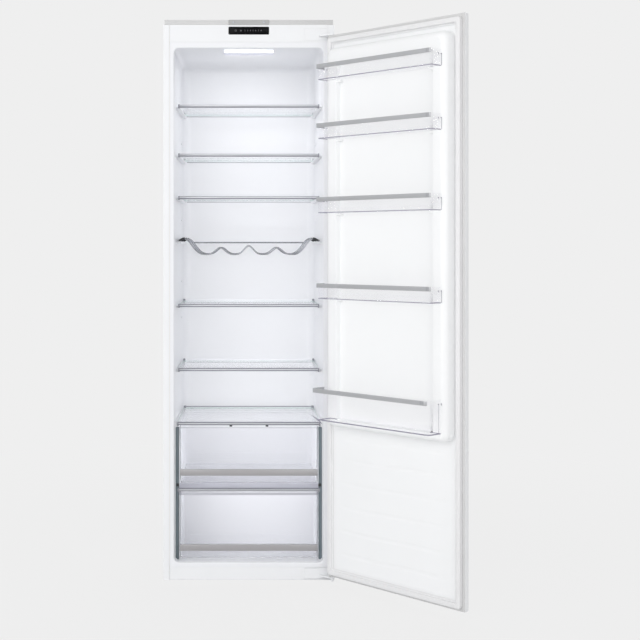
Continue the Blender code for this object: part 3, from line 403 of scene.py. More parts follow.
def painted_bracket():
    """Pressed steel bracket with a thin grey dip paint."""
    return surface(
        "painted_bracket", colours().bracket, (30, 1, 0.92), (60, 0.4, 0.55),
        ("Noise", 400, 2.0, 0.04, 0.4), Specular_IOR_Level=0.4,
    )


def black_glass():
    """Back-printed black glass of the control panel, with faint finger marks."""
    return surface(
        "black_glass", "#0A0A0C", (60, "#09090B", "#101013"), (70, 0.05, 0.16),
        Specular_IOR_Level=0.07,
    )


def touch_print():
    """Pale screen print of the touch symbols, slightly grainy at its edges."""
    return surface("touch_print", "#6A6A6D", (600, "#757578", "#5E5E62"), Roughness=0.5)


def opal_lens():
    """Opal acrylic lens over a row of white diodes, brighter over each of them."""
    material = surface(
        "opal_lens", "#F7F9FF", None, (80, 0.3, 0.45), IOR=1.49, Emission_Color=tone(None, "#F2F6FF")
    )
    tree, shader, place = insides(material)
    spots = add(tree, "TexWave", {"Vector": place, "Scale": 16.0}, bands_direction="X").outputs["Fac"]
    power = add(tree, "MapRange", {"Value": spots, "To Min": 1.1, "To Max": 1.4}).outputs["Result"]
    tree.links.new(power, shader.inputs["Emission Strength"])
    return material


def shaded_opal_cover():
    """Opal acrylic of the lamp's cover away from its diodes, in a lilac grey that is painted shade, and
    hardly lit.
    """
    return surface(
        "shaded_opal_cover", "#DCDCE6", (30, "#DEDEE8", "#D2D2DE"), (80, 0.3, 0.45), IOR=1.49,
        Emission_Color=tone(None, "#E2E2F0"), Emission_Strength=0.12,
    )


def galvanised_steel():
    """Hot-dip galvanised sheet, with zinc spangles about 12 mm across."""
    material = surface("galvanised_steel", "#B9BCBF", Metallic=0.85)
    tree, shader, place = insides(material)
    spangle = add(tree, "TexVoronoi", {"Vector": place, "Scale": 85}).outputs
    cells = add(tree, "SeparateColor", {"Color": spangle["Color"]}).outputs
    two_toned(tree, shader, cells["Red"], tone(None, "#C2C5C8"), tone(None, "#A9ADB1"))
    glossed(tree, shader, cells["Green"], 0.33, 0.52)
    relief(tree, shader, spangle["Distance"], 0.02, 0.3)
    return material


def black_enamel():
    """Stoved black enamel on steel, thick enough to soften the metal's marks."""
    return surface(
        "black_enamel", "#1B1B1D", (25, "#1A1A1C", "#262628"), (60, 0.30, 0.5),
        ("Noise", 350, 2.0, 0.06, 0.5), Coat_Weight=0.4,
    )


def glass_filled_nylon():
    """Dark moulded nylon with short glass fibres, matt and faintly streaked."""
    return streaked(
        "glass_filled_nylon", "#2B2C2E", (300, 300, 60), 3.0, "#242527", "#36373A", 0.03, 0.5,
        gloss=(80, 0.5, 0.68),
    )


def blown_foam():
    """Rigid polyurethane foam with its closed cells, drawn 3 mm across, coarser than the real ones."""
    return surface(
        "blown_foam", "#EBE5D2", (12, "#ECE7D6", "#DED5BC"), None, ("Voronoi", 330, 0.0, 0.5, 0.6),
        Roughness=0.9,
    )


def rolled_aluminium():
    """Mill-finish aluminium of the evaporator plate, with rolling lines up its height."""
    material = surface("rolled_aluminium", "#C8CACC", Metallic=1.0)
    tree, shader, place = insides(material)
    lines = pattern(tree, place, "Noise", (1500, 1500, 4), 2.0)
    glossed(tree, shader, lines, 0.28, 0.5)
    relief(tree, shader, lines, 0.01, 0.4)
    return material


def drawn_copper():
    """Soft-drawn copper tube, dulled by handling and brazing heat."""
    return surface(
        "drawn_copper", "#C77B52", (60, "#CB8058", "#8E5136"), (90, 0.25, 0.45), Metallic=1.0
    )


def plated_screw():
    """Zinc-plated steel screw with its bright, slightly bluish passivation."""
    return surface(
        "plated_screw", "#C4C7CC", (300, "#CBCED3", "#AEB3BA"), (500, 0.22, 0.4), Metallic=1.0
    )


def white_nylon():
    """Natural white nylon of clips and bushes, a little translucent at thin edges."""
    return surface(
        "white_nylon", "#EFEFEA", (70, "#F1F1EC", "#E4E4DC"), (90, 0.4, 0.55),
        Subsurface_Weight=0.1, Subsurface_Scale=0.003,
    )


def moulded_rubber():
    """Black rubber of the compressor's mounts, matt with a trace of mould release."""
    return surface(
        "moulded_rubber", "#161617", (90, "#151516", "#232324"), (120, 0.6, 0.8),
        Specular_IOR_Level=0.3,
    )


MAKERS = {
    "steel": powder_coated_steel,
    "liner": lambda: vacuum_formed_styrene("cabinet_liner_styrene", colours().liner),
    "door_liner": lambda: vacuum_formed_styrene("door_liner_styrene", colours().door_liner),
    "clear": lambda: crystal_styrene("crisper_styrene", 0.10, 0.75),
    "bin_clear": lambda: crystal_styrene("bin_styrene", 0.005, 0.06),
    "frosted": lambda: frosted_styrene("frosted_styrene", colours().clear_plastic),
    "divider": lambda: frosted_styrene("shade_grey_frosted_styrene", colours().divider),
    # The shelves' strips in a lit tone and a shaded tone of one silver paint: painted highlight and
    # painted shade.
    "trim": lambda: silver_painted_abs("painted_highlight_shelf_strip", colours().shelf_trim),
    "trim_shade": lambda: silver_painted_abs("painted_shade_strip_grey", colours().painted_shade_trim),
    "bin_trim": lambda: silver_painted_abs("silver_bin_strip", colours().silver_trim, -OPEN_ANGLE),
    "edge": edge_of_styrene, "glass": float_glass, "glass_edge": ground_glass_edge,
    "band": anodised_band, "chrome": chromed_wire, "gap_shade": shaded_guide_abs, "vinyl": soft_vinyl,
    "strip": foamed_strip, "bracket": painted_bracket, "black_glass": black_glass,
    "print": touch_print, "lens": opal_lens, "lens_cover": shaded_opal_cover,
    "galvanised": galvanised_steel, "enamel": black_enamel, "dark": glass_filled_nylon,
    "foam": blown_foam, "aluminium": rolled_aluminium, "copper": drawn_copper,
    "screw": plated_screw, "nylon": white_nylon, "rubber": moulded_rubber,
}
SEE_THROUGH = ("clear", "bin_clear", "glass")
MADE = {}


def finish(name):
    """The named finish, made the first time that it is asked for."""
    if name not in MADE:
        MADE[name] = MAKERS[name]()
    return MADE[name]


# Modelling

def bevel(shape, geom, width, segments, affect="EDGES", clamp=True):
    bmesh.ops.bevel(
        shape, geom=geom, offset=width, offset_type="OFFSET", segments=segments, profile=0.5,
        affect=affect, material=-1, clamp_overlap=clamp,
    )


def split(shape, place, normal, **settings):
    """Cuts a shape's faces along a plane."""
    geometry = shape.verts[:] + shape.edges[:] + shape.faces[:]
    bmesh.ops.bisect_plane(
        shape, geom=geometry, dist=MERGE, plane_co=place, plane_no=normal, **settings
    )


def outwards(shape):
    bmesh.ops.recalc_face_normals(shape, faces=shape.faces)


def turn_to(shape, face, way):
    """Flips a whole shape where needed, so that one of its faces looks along Y or against it."""
    shape.normal_update()
    if face.normal.y * way < 0:
        bmesh.ops.reverse_faces(shape, faces=shape.faces)


def made_of(made, kind):
    return [item for item in made["geom"] if isinstance(item, kind)]


def point(axis, offset, a, b):
    """A place from its offset along an axis and its two coordinates across it."""
    return Vector({"X": (offset, a, b), "Y": (a, offset, b), "Z": (a, b, offset)}[axis])


def flat_face(shape, corners, radius=0.0, segments=6):
    """A flat face through a few corners, all rounded by the same radius."""
    known = set(shape.faces)
    verts = [shape.verts.new(corner) for corner in corners]
    shape.faces.new(verts)
    if radius:
        bevel(shape, verts, radius, segments, "VERTICES", False)
    return next(face for face in shape.faces if face not in known)


def drawn_out(shape, geom):
    """Extrudes a face and returns its new end."""
    return made_of(bmesh.ops.extrude_face_region(shape, geom=geom), bmesh.types.BMFace)[0]


def skin(shape, sections, axis, segments=6):
    """Extrudes a rounded rectangle from section to section.

    A section is its offset along the axis, its two limits across, its two limits up or back, and the
    radius of its corners. Where the radius changes, each corner's arc is scaled about its own centre.
    """
    offset, a0, a1, b0, b1, radius = sections[0]
    corners = [(a0, b0), (a1, b0), (a1, b1), (a0, b1)]
    face = flat_face(shape, [point(axis, offset, a, b) for a, b in corners], radius, segments)
    for before, after in zip(sections, sections[1:]):
        face = drawn_out(shape, [face, *face.edges, *face.verts])
        reshape(face.verts, before, after, axis)


def reshape(verts, before, after, axis):
    """Moves a ring of verts from one section to the next, corner by corner."""
    first, second = {"X": (1, 2), "Y": (0, 2), "Z": (0, 1)}[axis]
    ratio = after[5] / before[5] if before[5] else 0.0
    for vert in verts:
        places = []
        for number, low in ((first, 1), (second, 3)):
            upper = vert.co[number] > (before[low] + before[low + 1]) / 2
            limit, sign = (low + 1, 1) if upper else (low, -1)
            arc = vert.co[number] - (before[limit] - sign * before[5])
            places.append(after[limit] - sign * after[5] + arc * ratio)
        vert.co = point(axis, after[0], *places)


def inset_by(low, high, axis, offset, inset, radius):
    """A box's section at an offset along Y or Z, drawn in by an inset on all four sides."""
    up = {"Y": 2, "Z": 1}[axis]
    return (offset, low.x + inset, high.x - inset, low[up] + inset, high[up] - inset, radius)


def rounding(radius, steps, outward=True):
    """A quarter round as (inward, along) from (0, 0): over an outer edge, or into an inner corner."""
    turns = [math.radians(90 * step / steps) for step in range(steps + 1)]
    if outward:
        return [(radius * (1 - math.cos(turn)), radius * math.sin(turn)) for turn in turns]
    return [(radius * math.sin(turn), radius * (1 - math.cos(turn))) for turn in turns]


def block(shape, low, high, radius, segments=2):
    """A block between two corners, with rounded edges."""
    middle = (Vector(low) + Vector(high)) / 2
    matrix = Matrix.Translation(middle) @ Matrix.Diagonal((*(Vector(high) - Vector(low)), 1))
    made = bmesh.ops.create_cube(shape, size=1.0, matrix=matrix)
    edges = {edge for vert in made["verts"] for edge in vert.link_edges}
    bevel(shape, list(edges), radius, segments)


def side_block(shape, side, across, along, up, radius=0.8 * MM, segments=2):
    """A rounded block on the left side or the right, from its spans across, along and up."""
    low_x, high_x = sorted(side * x for x in across)
    block(shape, (low_x, along[0], up[0]), (high_x, along[1], up[1]), radius, segments)


def round_edges(shape, width, segments=2, angle=40):
    """Rounds every edge that is sharper than the angle."""
    limit = math.radians(angle)
    edges = [edge for edge in shape.edges if edge.is_manifold and edge.calc_face_angle(0) > limit]
    bevel(shape, edges, width, segments)


def bar(shape, profile, low, high):
    """A flat profile of a few corners drawn out from side to side."""
    face = flat_face(shape, [(low, y, z) for y, z in profile])
    end = drawn_out(shape, [face])
    bmesh.ops.translate(shape, verts=end.verts, vec=(high - low, 0, 0))


def turned(shape, profile, centre, steps=32, matrix=Matrix()):
    """Spins a profile of (radius, height) points in millimetres about an upright axis, and places it."""
    known = set(shape.verts)
    verts = [shape.verts.new((radius * MM, 0, height * MM)) for radius, height in profile]
    edges = [shape.edges.new(pair) for pair in zip(verts, verts[1:])]
    bmesh.ops.spin(
        shape, geom=verts + edges, cent=(0, 0, 0), axis=(0, 0, 1), angle=2 * math.pi, steps=steps,
        use_merge=True,
    )
    spun = [vert for vert in shape.verts if vert not in known]
    bmesh.ops.transform(shape, matrix=Matrix.Translation(centre) @ matrix, verts=spun)


def screw_head(shape, centre, facing, radius):
    """A pan-head screw with a socket, facing along a direction. Its radius is in millimetres."""
    tall = radius * 0.55
    profile = [
        (radius, -tall), (radius, tall * 0.3), (radius * 0.86, tall * 0.75), (radius * 0.6, tall),
        (radius * 0.42, tall), (radius * 0.36, tall * 0.2), (0, tall * 0.1),
    ]
    turned(shape, profile, centre, 16, Vector(facing).to_track_quat("Z", "Y").to_matrix().to_4x4())


def linked(name, data):
    """A new object in the scene."""
    thing = bpy.data.objects.new(name, data)
    bpy.context.scene.collection.objects.link(thing)
    return thing


def as_object(name, shape):
    """Turns a shape into an object in the scene, and frees it."""
    mesh = bpy.data.meshes.new(name)
    shape.to_mesh(mesh)
    shape.free()
    return linked(name, mesh)


def absorb(shape, thing, matrix=Matrix()):
    """Adds an object's finished mesh to a shape, and removes the object."""
    bpy.context.view_layer.update()
    graph = bpy.context.evaluated_depsgraph_get()
    mesh = bpy.data.meshes.new_from_object(thing.evaluated_get(graph))
    mesh.transform(matrix)
    shape.from_mesh(mesh)
    bpy.data.batch_remove([thing, thing.data, mesh])


def tube_into(shape, points, radius, sides=3, smooth=False):
    """Adds a round wire through points to a shape, its ends closed."""
    curve = bpy.data.curves.new("wire", "CURVE")
    curve.dimensions = "3D"
    curve.bevel_depth = radius
    curve.bevel_resolution = sides
    curve.use_fill_caps = True
    curve.resolution_u = 6
    spline = curve.splines.new("NURBS" if smooth else "POLY")
    spline.points.add(len(points) - 1)
    for control, place in zip(spline.points, points):
        control.co = (*place, 1)
    if smooth:
        spline.order_u = 3
        spline.use_endpoint_u = True
    absorb(shape, linked("wire", curve))


def carved(shape, cutter):
    """The shape less another shape, as a new bmesh."""
    outwards(shape)
    outwards(cutter)
    kept = as_object("carving", shape)
    tool = as_object("cutter", cutter)
    change = kept.modifiers.new("carve", "BOOLEAN")
    change.operation = "DIFFERENCE"
    change.solver = "EXACT"
    change.object = tool
    result = bmesh.new()
    absorb(result, kept)
    bpy.data.batch_remove([tool, tool.data])
    return result


def piece(name, shape, finishes, body="cabinet", stands_for=(), facing=True, crease=35):
    """Turns a shape into a finished piece that rides on a body. See-through pieces cast no shadow."""
    bmesh.ops.remove_doubles(shape, verts=shape.verts, dist=MERGE)
    if facing:
        outwards(shape)
    if body.startswith("door"):
        bmesh.ops.transform(shape, matrix=DOOR, verts=shape.verts)
    thing = as_object(name, shape)
    finishes = [finishes] if isinstance(finishes, str) else finishes
    for key in finishes:
        thing.data.materials.append(finish(key))
    thing.data.shade_smooth()
    thing.data.set_sharp_from_angle(angle=math.radians(crease))
    if finishes[0] in SEE_THROUGH:
        thing.visible_shadow = False
        thing.visible_diffuse = False
    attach(thing, body)
    if stands_for:
        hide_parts(*stands_for)
    return thing


def dress(key, *names):
    """Gives CAD nodes that keep their shape a finish."""
    for name in names:
        node = frame["nodes"][name]
        if not node.material_slots:
            node.data.materials.append(finish(key))
        for slot in node.material_slots:
            slot.material = finish(key)


def door_box(name):
    """A CAD node's lowest and highest corners in the door's own frame."""
    back = DOOR.inverted()
    places = [back @ vert.co for vert in frame["nodes"][name].data.vertices]
    return [Vector([limit(place[i] for place in places) for i in range(3)]) for limit in (min, max)]


# The cabinet

CAVITY_HALF = 236.2 * MM
CAVITY_FLOOR = 55.5 * MM
CAVITY_TOP = 1681 * MM
CAVITY_DEPTH = 452 * MM
SIDE_TAPER = 5.2 * MM
TOP_TAPER = 3 * MM
BACK_NARROWING = 29.5 * MM
BACK_RISE = 15 * MM
LIP = 3.5 * MM
LINER_SHEET = 1.6 * MM
STEP_Y = 0.0
STEP_HEIGHT = 290 * MM
# Half width, foot, head and thickness of the liner's flange.
FLANGE = (249.6 * MM, 41 * MM, 1699.6 * MM, 2.2 * MM)
# Inner and outer distance from the middle, near and far end, and height of a shelf ledge.
LEDGE = (219 * MM, 238 * MM, FRONT + 100 * MM, FRONT + 402 * MM, 7 * MM)
RACK_LEDGE_TOP = 1070.2 * MM
GLASS_TOP_DROP = 2.5 * MM
SPARE_LEVELS = (1405 * MM, 1143.5 * MM, 934 * MM, 810 * MM)


def cavity_sections():
    """The cabinet's inside from its lip back to its rear wall."""
    radius, bend = sizes().cavity_radius, sizes().back_radius
    sections = []
    for inward, along in rounding(LIP, 4):
        out = LIP - along
        half = CAVITY_HALF + out
        sections.append(
            (FRONT + inward, -half, half, CAVITY_FLOOR - out, CAVITY_TOP + out, radius + out)
        )
    for inward, along in rounding(1, 8):
        half = CAVITY_HALF - SIDE_TAPER - BACK_NARROWING * inward
        rise = BACK_RISE * inward
        sections.append((
            FRONT + CAVITY_DEPTH - bend + bend * along, -half, half, CAVITY_FLOOR + rise,
            CAVITY_TOP - TOP_TAPER - rise, radius,
        ))
    return sections


def make_liner():
    """The cabinet's liner with the step over the compressor's bay, and its flange round the mouth."""
    sections = cavity_sections()
    shape = bmesh.new()
    skin(shape, sections, "Y", 8)
    step = bmesh.new()
    beyond = 300 * MM
    low, high = (-beyond, STEP_Y, 0), (beyond, BACK + 50 * MM, STEP_HEIGHT)
    block(step, low, high, sizes().step_radius, 5)
    shape = carved(shape, step)
    bmesh.ops.remove_doubles(shape, verts=shape.verts, dist=MERGE)
    mouth = [face for face in shape.faces if all(v.co.y < FRONT + 0.1 * MM for v in face.verts)]
    bmesh.ops.delete(shape, geom=mouth, context="FACES")
    half, low, high, thick = FLANGE
    flange = [(FRONT + y, -half, half, low, high, 2 * MM) for y in (0, thick)]
    for before, after in zip([sections[0], *flange], flange):
        rim = [edge for edge in shape.edges if edge.is_boundary]
        made = bmesh.ops.extrude_edge_only(shape, edges=rim)
        reshape(made_of(made, bmesh.types.BMVert), before, after, "Y")
    outwards(shape)
    turn_to(shape, min(shape.faces, key=lambda face: face.calc_center_median().y), -1)
    liner = piece(
        "cabinet_liner", shape, "liner", stands_for=["inner_liner"], facing=False,
        crease=40,
    )
    wall = liner.modifiers.new("wall", "SOLIDIFY")
    wall.thickness = LINER_SHEET
    wall.offset = -1


def make_ledges():
    """Shelf ledges formed in the side walls, each but the crisper cover's with a raised stop at its back
    end.
    """
    inner, outer, near, far, tall = LEDGE
    tops = [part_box(f"shelf_glass_{number}")[0].z for number in SHELVES]
    tops = [top - 0.3 * MM for top in [*tops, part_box("crisper_lid_glass")[0].z]]
    shape = bmesh.new()
    for number, top in enumerate([*tops, RACK_LEDGE_TOP]):
        for side in SIDES:
            side_block(shape, side, (inner, outer), (near, far), (top - tall, top), 2.4 * MM, 3)
            if number != len(SHELVES):
                side_block(
                    shape, side, (inner, outer - 3 * MM), (far - 2 * MM, far + 6 * MM),
                    (top - tall, top + 5 * MM), 2 * MM, 3,
                )
    piece("shelf_ledges", shape, "liner")


def make_wall_details():
    """The drain's funnel at the back wall's foot, and the studs of levels where no shelf lies."""
    shape = bmesh.new()
    drain = (0, FRONT + CAVITY_DEPTH - 60 * MM, STEP_HEIGHT + 1 * MM)
    turned(shape, [(24, 2), (14, 0.4), (6, -2), (5, -9)], drain)
    piece("drain_funnel", shape, "liner", facing=False)
    studs = bmesh.new()
    for level in SPARE_LEVELS:
        for side in SIDES:
            side_block(
                studs, side, (229 * MM, 238 * MM), (FRONT + 332 * MM, FRONT + 392 * MM),
                (level - 3 * MM, level + 3 * MM), 1.5 * MM,
            )
    piece("spare_ledge_studs", studs, "liner")


def make_lamp():
    """The ceiling lamp: a lit strip at the front, and a ribbed cover behind it in painted shade."""
    low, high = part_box("lamp_lens")
    shape = bmesh.new()
    radius, corner = 2 * MM, 4 * MM
    lit = low.y + 9 * MM
    sections = [inset_by(low, high, "Z", high.z, 0, corner)]
    for inward, along in rounding(radius, 4):
        z = low.z + radius - along
        sections.append(inset_by(low, high, "Z", z, inward, corner - inward))
    skin(shape, sections, "Z")
    split(shape, (0, lit, 0), (0, 1, 0))
    ribs = 22
    spacing = (high.x - low.x - 12 * MM) / ribs
    near, far, under, over = lit + 2 * MM, high.y - 5 * MM, low.z - 0.6 * MM, low.z + 0.4 * MM
    for number in range(ribs):
        x = low.x + 6 * MM + spacing * (number + 0.5)
        profile = [(near, over), (near, under), (far, under), (far, over)]
        bar(shape, profile, x - 1.4 * MM, x + 1.4 * MM)
    for face in shape.faces:
        face.material_index = int(face.calc_center_median().y >= lit)
    piece("ceiling_lamp", shape, ["lens", "lens_cover"], stands_for=["lamp_lens"])


def make_casing_details():
    """Screws on the casing's back, and the folded sheet that shows round the hinges' plates."""
    shape = bmesh.new()
    places = [(side * 0.258, z) for side in SIDES for z in (0.31, 0.60, 0.89, 1.18, 1.47, 1.735)]
    for x, z in [*places, (-0.15, 1.744), (0.15, 1.744)]:
        screw_head(shape, (x, BACK + 0.6 * MM, z), (0, 1, 0), 3.2)
    piece("casing_screws", shape, "screw")
    shape = bmesh.new()
    right = -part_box("side_panel_left")[1].x + 1.8 * MM
    for name, foot, head in (("hinge_cover", 1700.2, 1752), ("lower_hinge", 2.5, 41)):
        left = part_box(name)[0].x - 4 * MM
        low, high = (left, FRONT + 3.2 * MM, foot * MM), (right, FRONT + 4.0 * MM, head * MM)
        block(shape, low, high, 0.3 * MM, 1)
    piece("casing_returns", shape, "steel")


def front_plate(low, high, radius, steps):
    """Sections of a flat plate from its back to its front, with its front edge broken in steps."""
    places = [(high.y, 0), *((low.y + depth, inset) for depth, inset in steps)]
    return [inset_by(low, high, "Y", y, inset, radius - inset) for y, inset in places]


def make_display():
    """Touch panel behind black glass, with plain symbols and the scale of temperatures."""
    low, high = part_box("display_panel")
    shape = bmesh.new()
    steps = ((0.4 * MM, 0), (0.1 * MM, 0.15 * MM), (0, 0.5 * MM))
    skin(shape, front_plate(low, high, 3 * MM, steps), "Y")
    piece("touch_panel", shape, "black_glass", stands_for=["display_panel"])
    ink = bmesh.new()
    left = Vector((-41 * MM, low.y - 0.04 * MM, (low.z + high.z) / 2))
    power_ring(ink, left)
    snow_mark(ink, left + Vector((16 * MM, 0, 0)))
    for number in range(7):
        digit_mark(ink, str(number + 2), left + Vector(((29 + 8.5 * number) * MM, 0, 0)))
    piece("touch_symbols", ink, "print", facing=False)


def power_ring(shape, place):
    """A ring with a gap on top and a stroke through it."""
    x, y, z = place
    radius, half = 3.2 * MM, 0.4 * MM
    turn = Matrix.Translation(place) @ Matrix.Rotation(math.pi / 2, 4, "X")
    made = bmesh.ops.create_circle(shape, cap_ends=True, segments=24, radius=radius, matrix=turn)
    face = made["verts"][0].link_faces[0]
    ring = bmesh.ops.inset_individual(shape, faces=[face], thickness=0.7 * MM, use_even_offset=True)
    gap = [item for item in ring["faces"] if item.calc_center_median().z > z + radius * 0.72]
    bmesh.ops.delete(shape, geom=[face, *gap], context="FACES")
    top = z + radius * 1.1
    flat_face(shape, [(x - half, y, z), (x + half, y, z), (x + half, y, top), (x - half, y, top)])


def snow_mark(shape, place):
    """Three strokes that cross."""
    reach, thin = 3.6 * MM, 0.35 * MM
    for step in range(3):
        face = flat_face(shape, [
            (-reach, 0, -thin), (reach, 0, -thin), (reach, 0, thin), (-reach, 0, thin),
        ])
        matrix = Matrix.Translation(place) @ Matrix.Rotation(math.radians(60 * step + 30), 4, "Y")
        bmesh.ops.transform(shape, matrix=matrix, verts=face.verts)


def digit_mark(shape, digit, place):
    """One digit of the scale, flat and centred on its place."""
    words = bpy.data.curves.new("digit", "FONT")
    words.body = digit
    words.align_x = "CENTER"
    words.align_y = "CENTER"
    words.size = 7 * MM
    words.resolution_u = 3
    matrix = Matrix.Translation(place) @ Matrix.Rotation(math.pi / 2, 4, "X")
    absorb(shape, linked("digit", words), matrix)


def make_top_strip():
    """Ribbed closing strip along the top, and the bracket that holds the cabinet in its niche."""
    low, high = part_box("top_seal_strip")
    profile = [(high.y, low.z), (high.y, high.z), (low.y + 1.2 * MM, high.z)]
    ribs = 3
    pitch = (high.z - low.z - 2 * MM) / ribs
    for number in range(ribs):
        top = high.z - 1 * MM - pitch * number
        for depth, share in ((0, 0), (0, 0.62), (1.0 * MM, 0.72), (1.0 * MM, 0.9)):
            profile.append((low.y + depth, top - pitch * share))
    profile.append((low.y + 1.2 * MM, low.z))
    shape = bmesh.new()
    bar(shape, profile, low.x, high.x)
    round_edges(shape, 0.25 * MM, 1)
    piece("closing_strip", shape, "strip", stands_for=["top_seal_strip"])
    low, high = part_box("fixing_bracket")
    shape = bmesh.new()
    steps = ((0.4 * MM, 0), (0, 0.4 * MM))
    skin(shape, front_plate(low, high, 2.5 * MM, steps), "Y")
    piece("niche_bracket", shape, "bracket", stands_for=["fixing_bracket"])
    shape = bmesh.new()
    for x in (-48 * MM, 48 * MM):
        screw_head(shape, (x, low.y - 0.2 * MM, (low.z + high.z) / 2), (0, -1, 0), 3)
    piece("bracket_screws", shape, "screw")


# Shelves and crispers

def make_front_strip(name, low, high, body="cabinet", stands_for=()):
    """A shelf's front strip: a slope on top, a silver face and a lip that turns under; the slope and the
    lip are dark with painted shade.
    """
    front, back, top, foot = low.y, high.y, high.z, low.z
    inner, under = front + 3.4 * MM, foot + 1 * MM
    shape = bmesh.new()
    bar(shape, [
        (front + 0.5 * MM, top - 2.7 * MM), (back, top), (back, top - 2.2 * MM),
        (inner, top - 2.3 * MM), (inner, top - 6.8 * MM), (back, top - 6.8 * MM), (back, under),
        (front + 3.0 * MM, under), (front, top - 6.0 * MM), (front, top - 3.2 * MM),
    ], low.x, high.x)
    round_edges(shape, 0.3 * MM)
    shape.normal_update()
    # Upright faces keep the silver; the other faces get the grey of painted shade, which the end caps
    # share.
    silver = {face for face in shape.faces if abs(face.normal.z) < 0.35}
    for side in SIDES:
        side_block(
            shape, side, (high.x - 5 * MM, high.x), (front - 0.2 * MM, back + 1.5 * MM),
            (foot - 1 * MM, top + 0.3 * MM), 1.1 * MM,
        )
    for face in shape.faces:
        face.material_index = int(face not in silver)
    piece(name, shape, ["trim", "trim_shade"], body, stands_for)


def rear_ends(shape, high, inner, near, under, over):
    """Small end caps on what runs along a shelf's back edge."""
    back, top = high.y, high.z + GLASS_TOP_DROP
    for side in SIDES:
        side_block(
            shape, side, (inner, 227 * MM), (back - near, back + 1.8 * MM),
            (top - under, top + over), 1.2 * MM,
        )


def make_rear_bar(high):
    """The bar along the back edge of the crisper cover, dark with painted shade."""
    shape = bmesh.new()
    back, top, half = high.y, high.z + GLASS_TOP_DROP, 222 * MM
    low, high_end = (-half, back - 1.6 * MM, top - 0.8 * MM), (half, back + 1.6 * MM, top + 2.4 * MM)
    block(shape, low, high_end, 0.7 * MM)
    rear_ends(shape, high, 218 * MM, 8 * MM, 3 * MM, 4 * MM)
    piece("crisper_cover_rear_bar", shape, "trim_shade", "crisper_lid")


def make_rear_strip(number, high):
    """The clear strip along a shelf's back edge, with a bead at its foot, dark with painted shadow, and
    dark caps at its ends.
    """
    back, top, body = high.y, high.z + GLASS_TOP_DROP, f"shelf_{number}"
    foot, head, outer = top - 9.0 * MM, top + 2.0 * MM, back + 1.4 * MM
    clear = bmesh.new()
    bar(clear, [(back, foot), (back, head), (outer, head), (outer, foot)], -214 * MM, 214 * MM)
    round_edges(clear, 0.3 * MM)
    beads = bmesh.new()
    for shape, half, low_z, high_z in ((beads, 215, -10.2, -8.2), (clear, 222, 1.6, 3.6)):
        block(
            shape, (-half * MM, back - 1.2 * MM, top + low_z * MM),
            (half * MM, back + 1.6 * MM, top + high_z * MM), 0.6 * MM,
        )
    rear_ends(beads, high, 219.5 * MM, 7 * MM, 2.3 * MM, 4.4 * MM)
    piece(f"rear_strip_{number}", clear, "frosted", body)
    piece(f"rear_strip_{number}_beads", beads, "trim_shade", body)


def make_pane(name, node, body):
    """A glass plate with its edges ground. Returns its highest corner."""
    low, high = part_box(node)
    arris = 0.5 * MM
    corner = sizes().glass_corner
    steps = ((low.z, arris), (low.z + arris, 0), (high.z - arris, 0), (high.z, arris))
    shape = bmesh.new()
    skin(shape, [inset_by(low, high, "Z", z, inset, corner - inset) for z, inset in steps], "Z")
    outwards(shape)
    for face in shape.faces:
        face.material_index = int(abs(face.normal.z) <= 0.9)
    piece(name, shape, ["glass", "glass_edge"], body, [node])
    return high


def make_shelves():
    for number in SHELVES:
        body, node = f"shelf_{number}", f"shelf_trim_{number}"
        high = make_pane(f"glass_shelf_{number}", f"shelf_glass_{number}", body)
        make_front_strip(f"front_strip_{number}", *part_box(node), body, [node])
        make_rear_strip(number, high)


def make_crisper_lid():
    """The crispers' glass cover with its strips, and the two catches under the front one."""
    high = make_pane("crisper_cover_glass", "crisper_lid_glass", "crisper_lid")
    low, strip_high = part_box("crisper_lid_trim")
    make_front_strip("crisper_cover_strip", low, strip_high, "crisper_lid", ["crisper_lid_trim"])
    make_rear_bar(high)
    shape = bmesh.new()
    for x in (-57 * MM, 58 * MM):
        block(
            shape, (x - 4.5 * MM, low.y + 2.5 * MM, low.z - 3.5 * MM),
            (x + 4.5 * MM, low.y + 6 * MM, low.z + 1 * MM), 0.8 * MM,
        )
    piece("cover_catches", shape, "dark", "crisper_lid")


def make_divider():
    """The plate between the drawers, grey with painted shade from the upper drawer, with a strip like the
    shelves' along its front.
    """
    low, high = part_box("drawer_divider")
    shape = bmesh.new()
    block(
        shape, (low.x + 1 * MM, low.y + 3.8 * MM, high.z - 6.6 * MM),
        (high.x - 1 * MM, high.y, high.z - 2.4 * MM), 0.8 * MM,
    )
    piece("crisper_divider_plate", shape, "divider", stands_for=["drawer_divider"])
    make_front_strip("crisper_divider_strip", low, Vector((high.x, low.y + 11 * MM, high.z)))


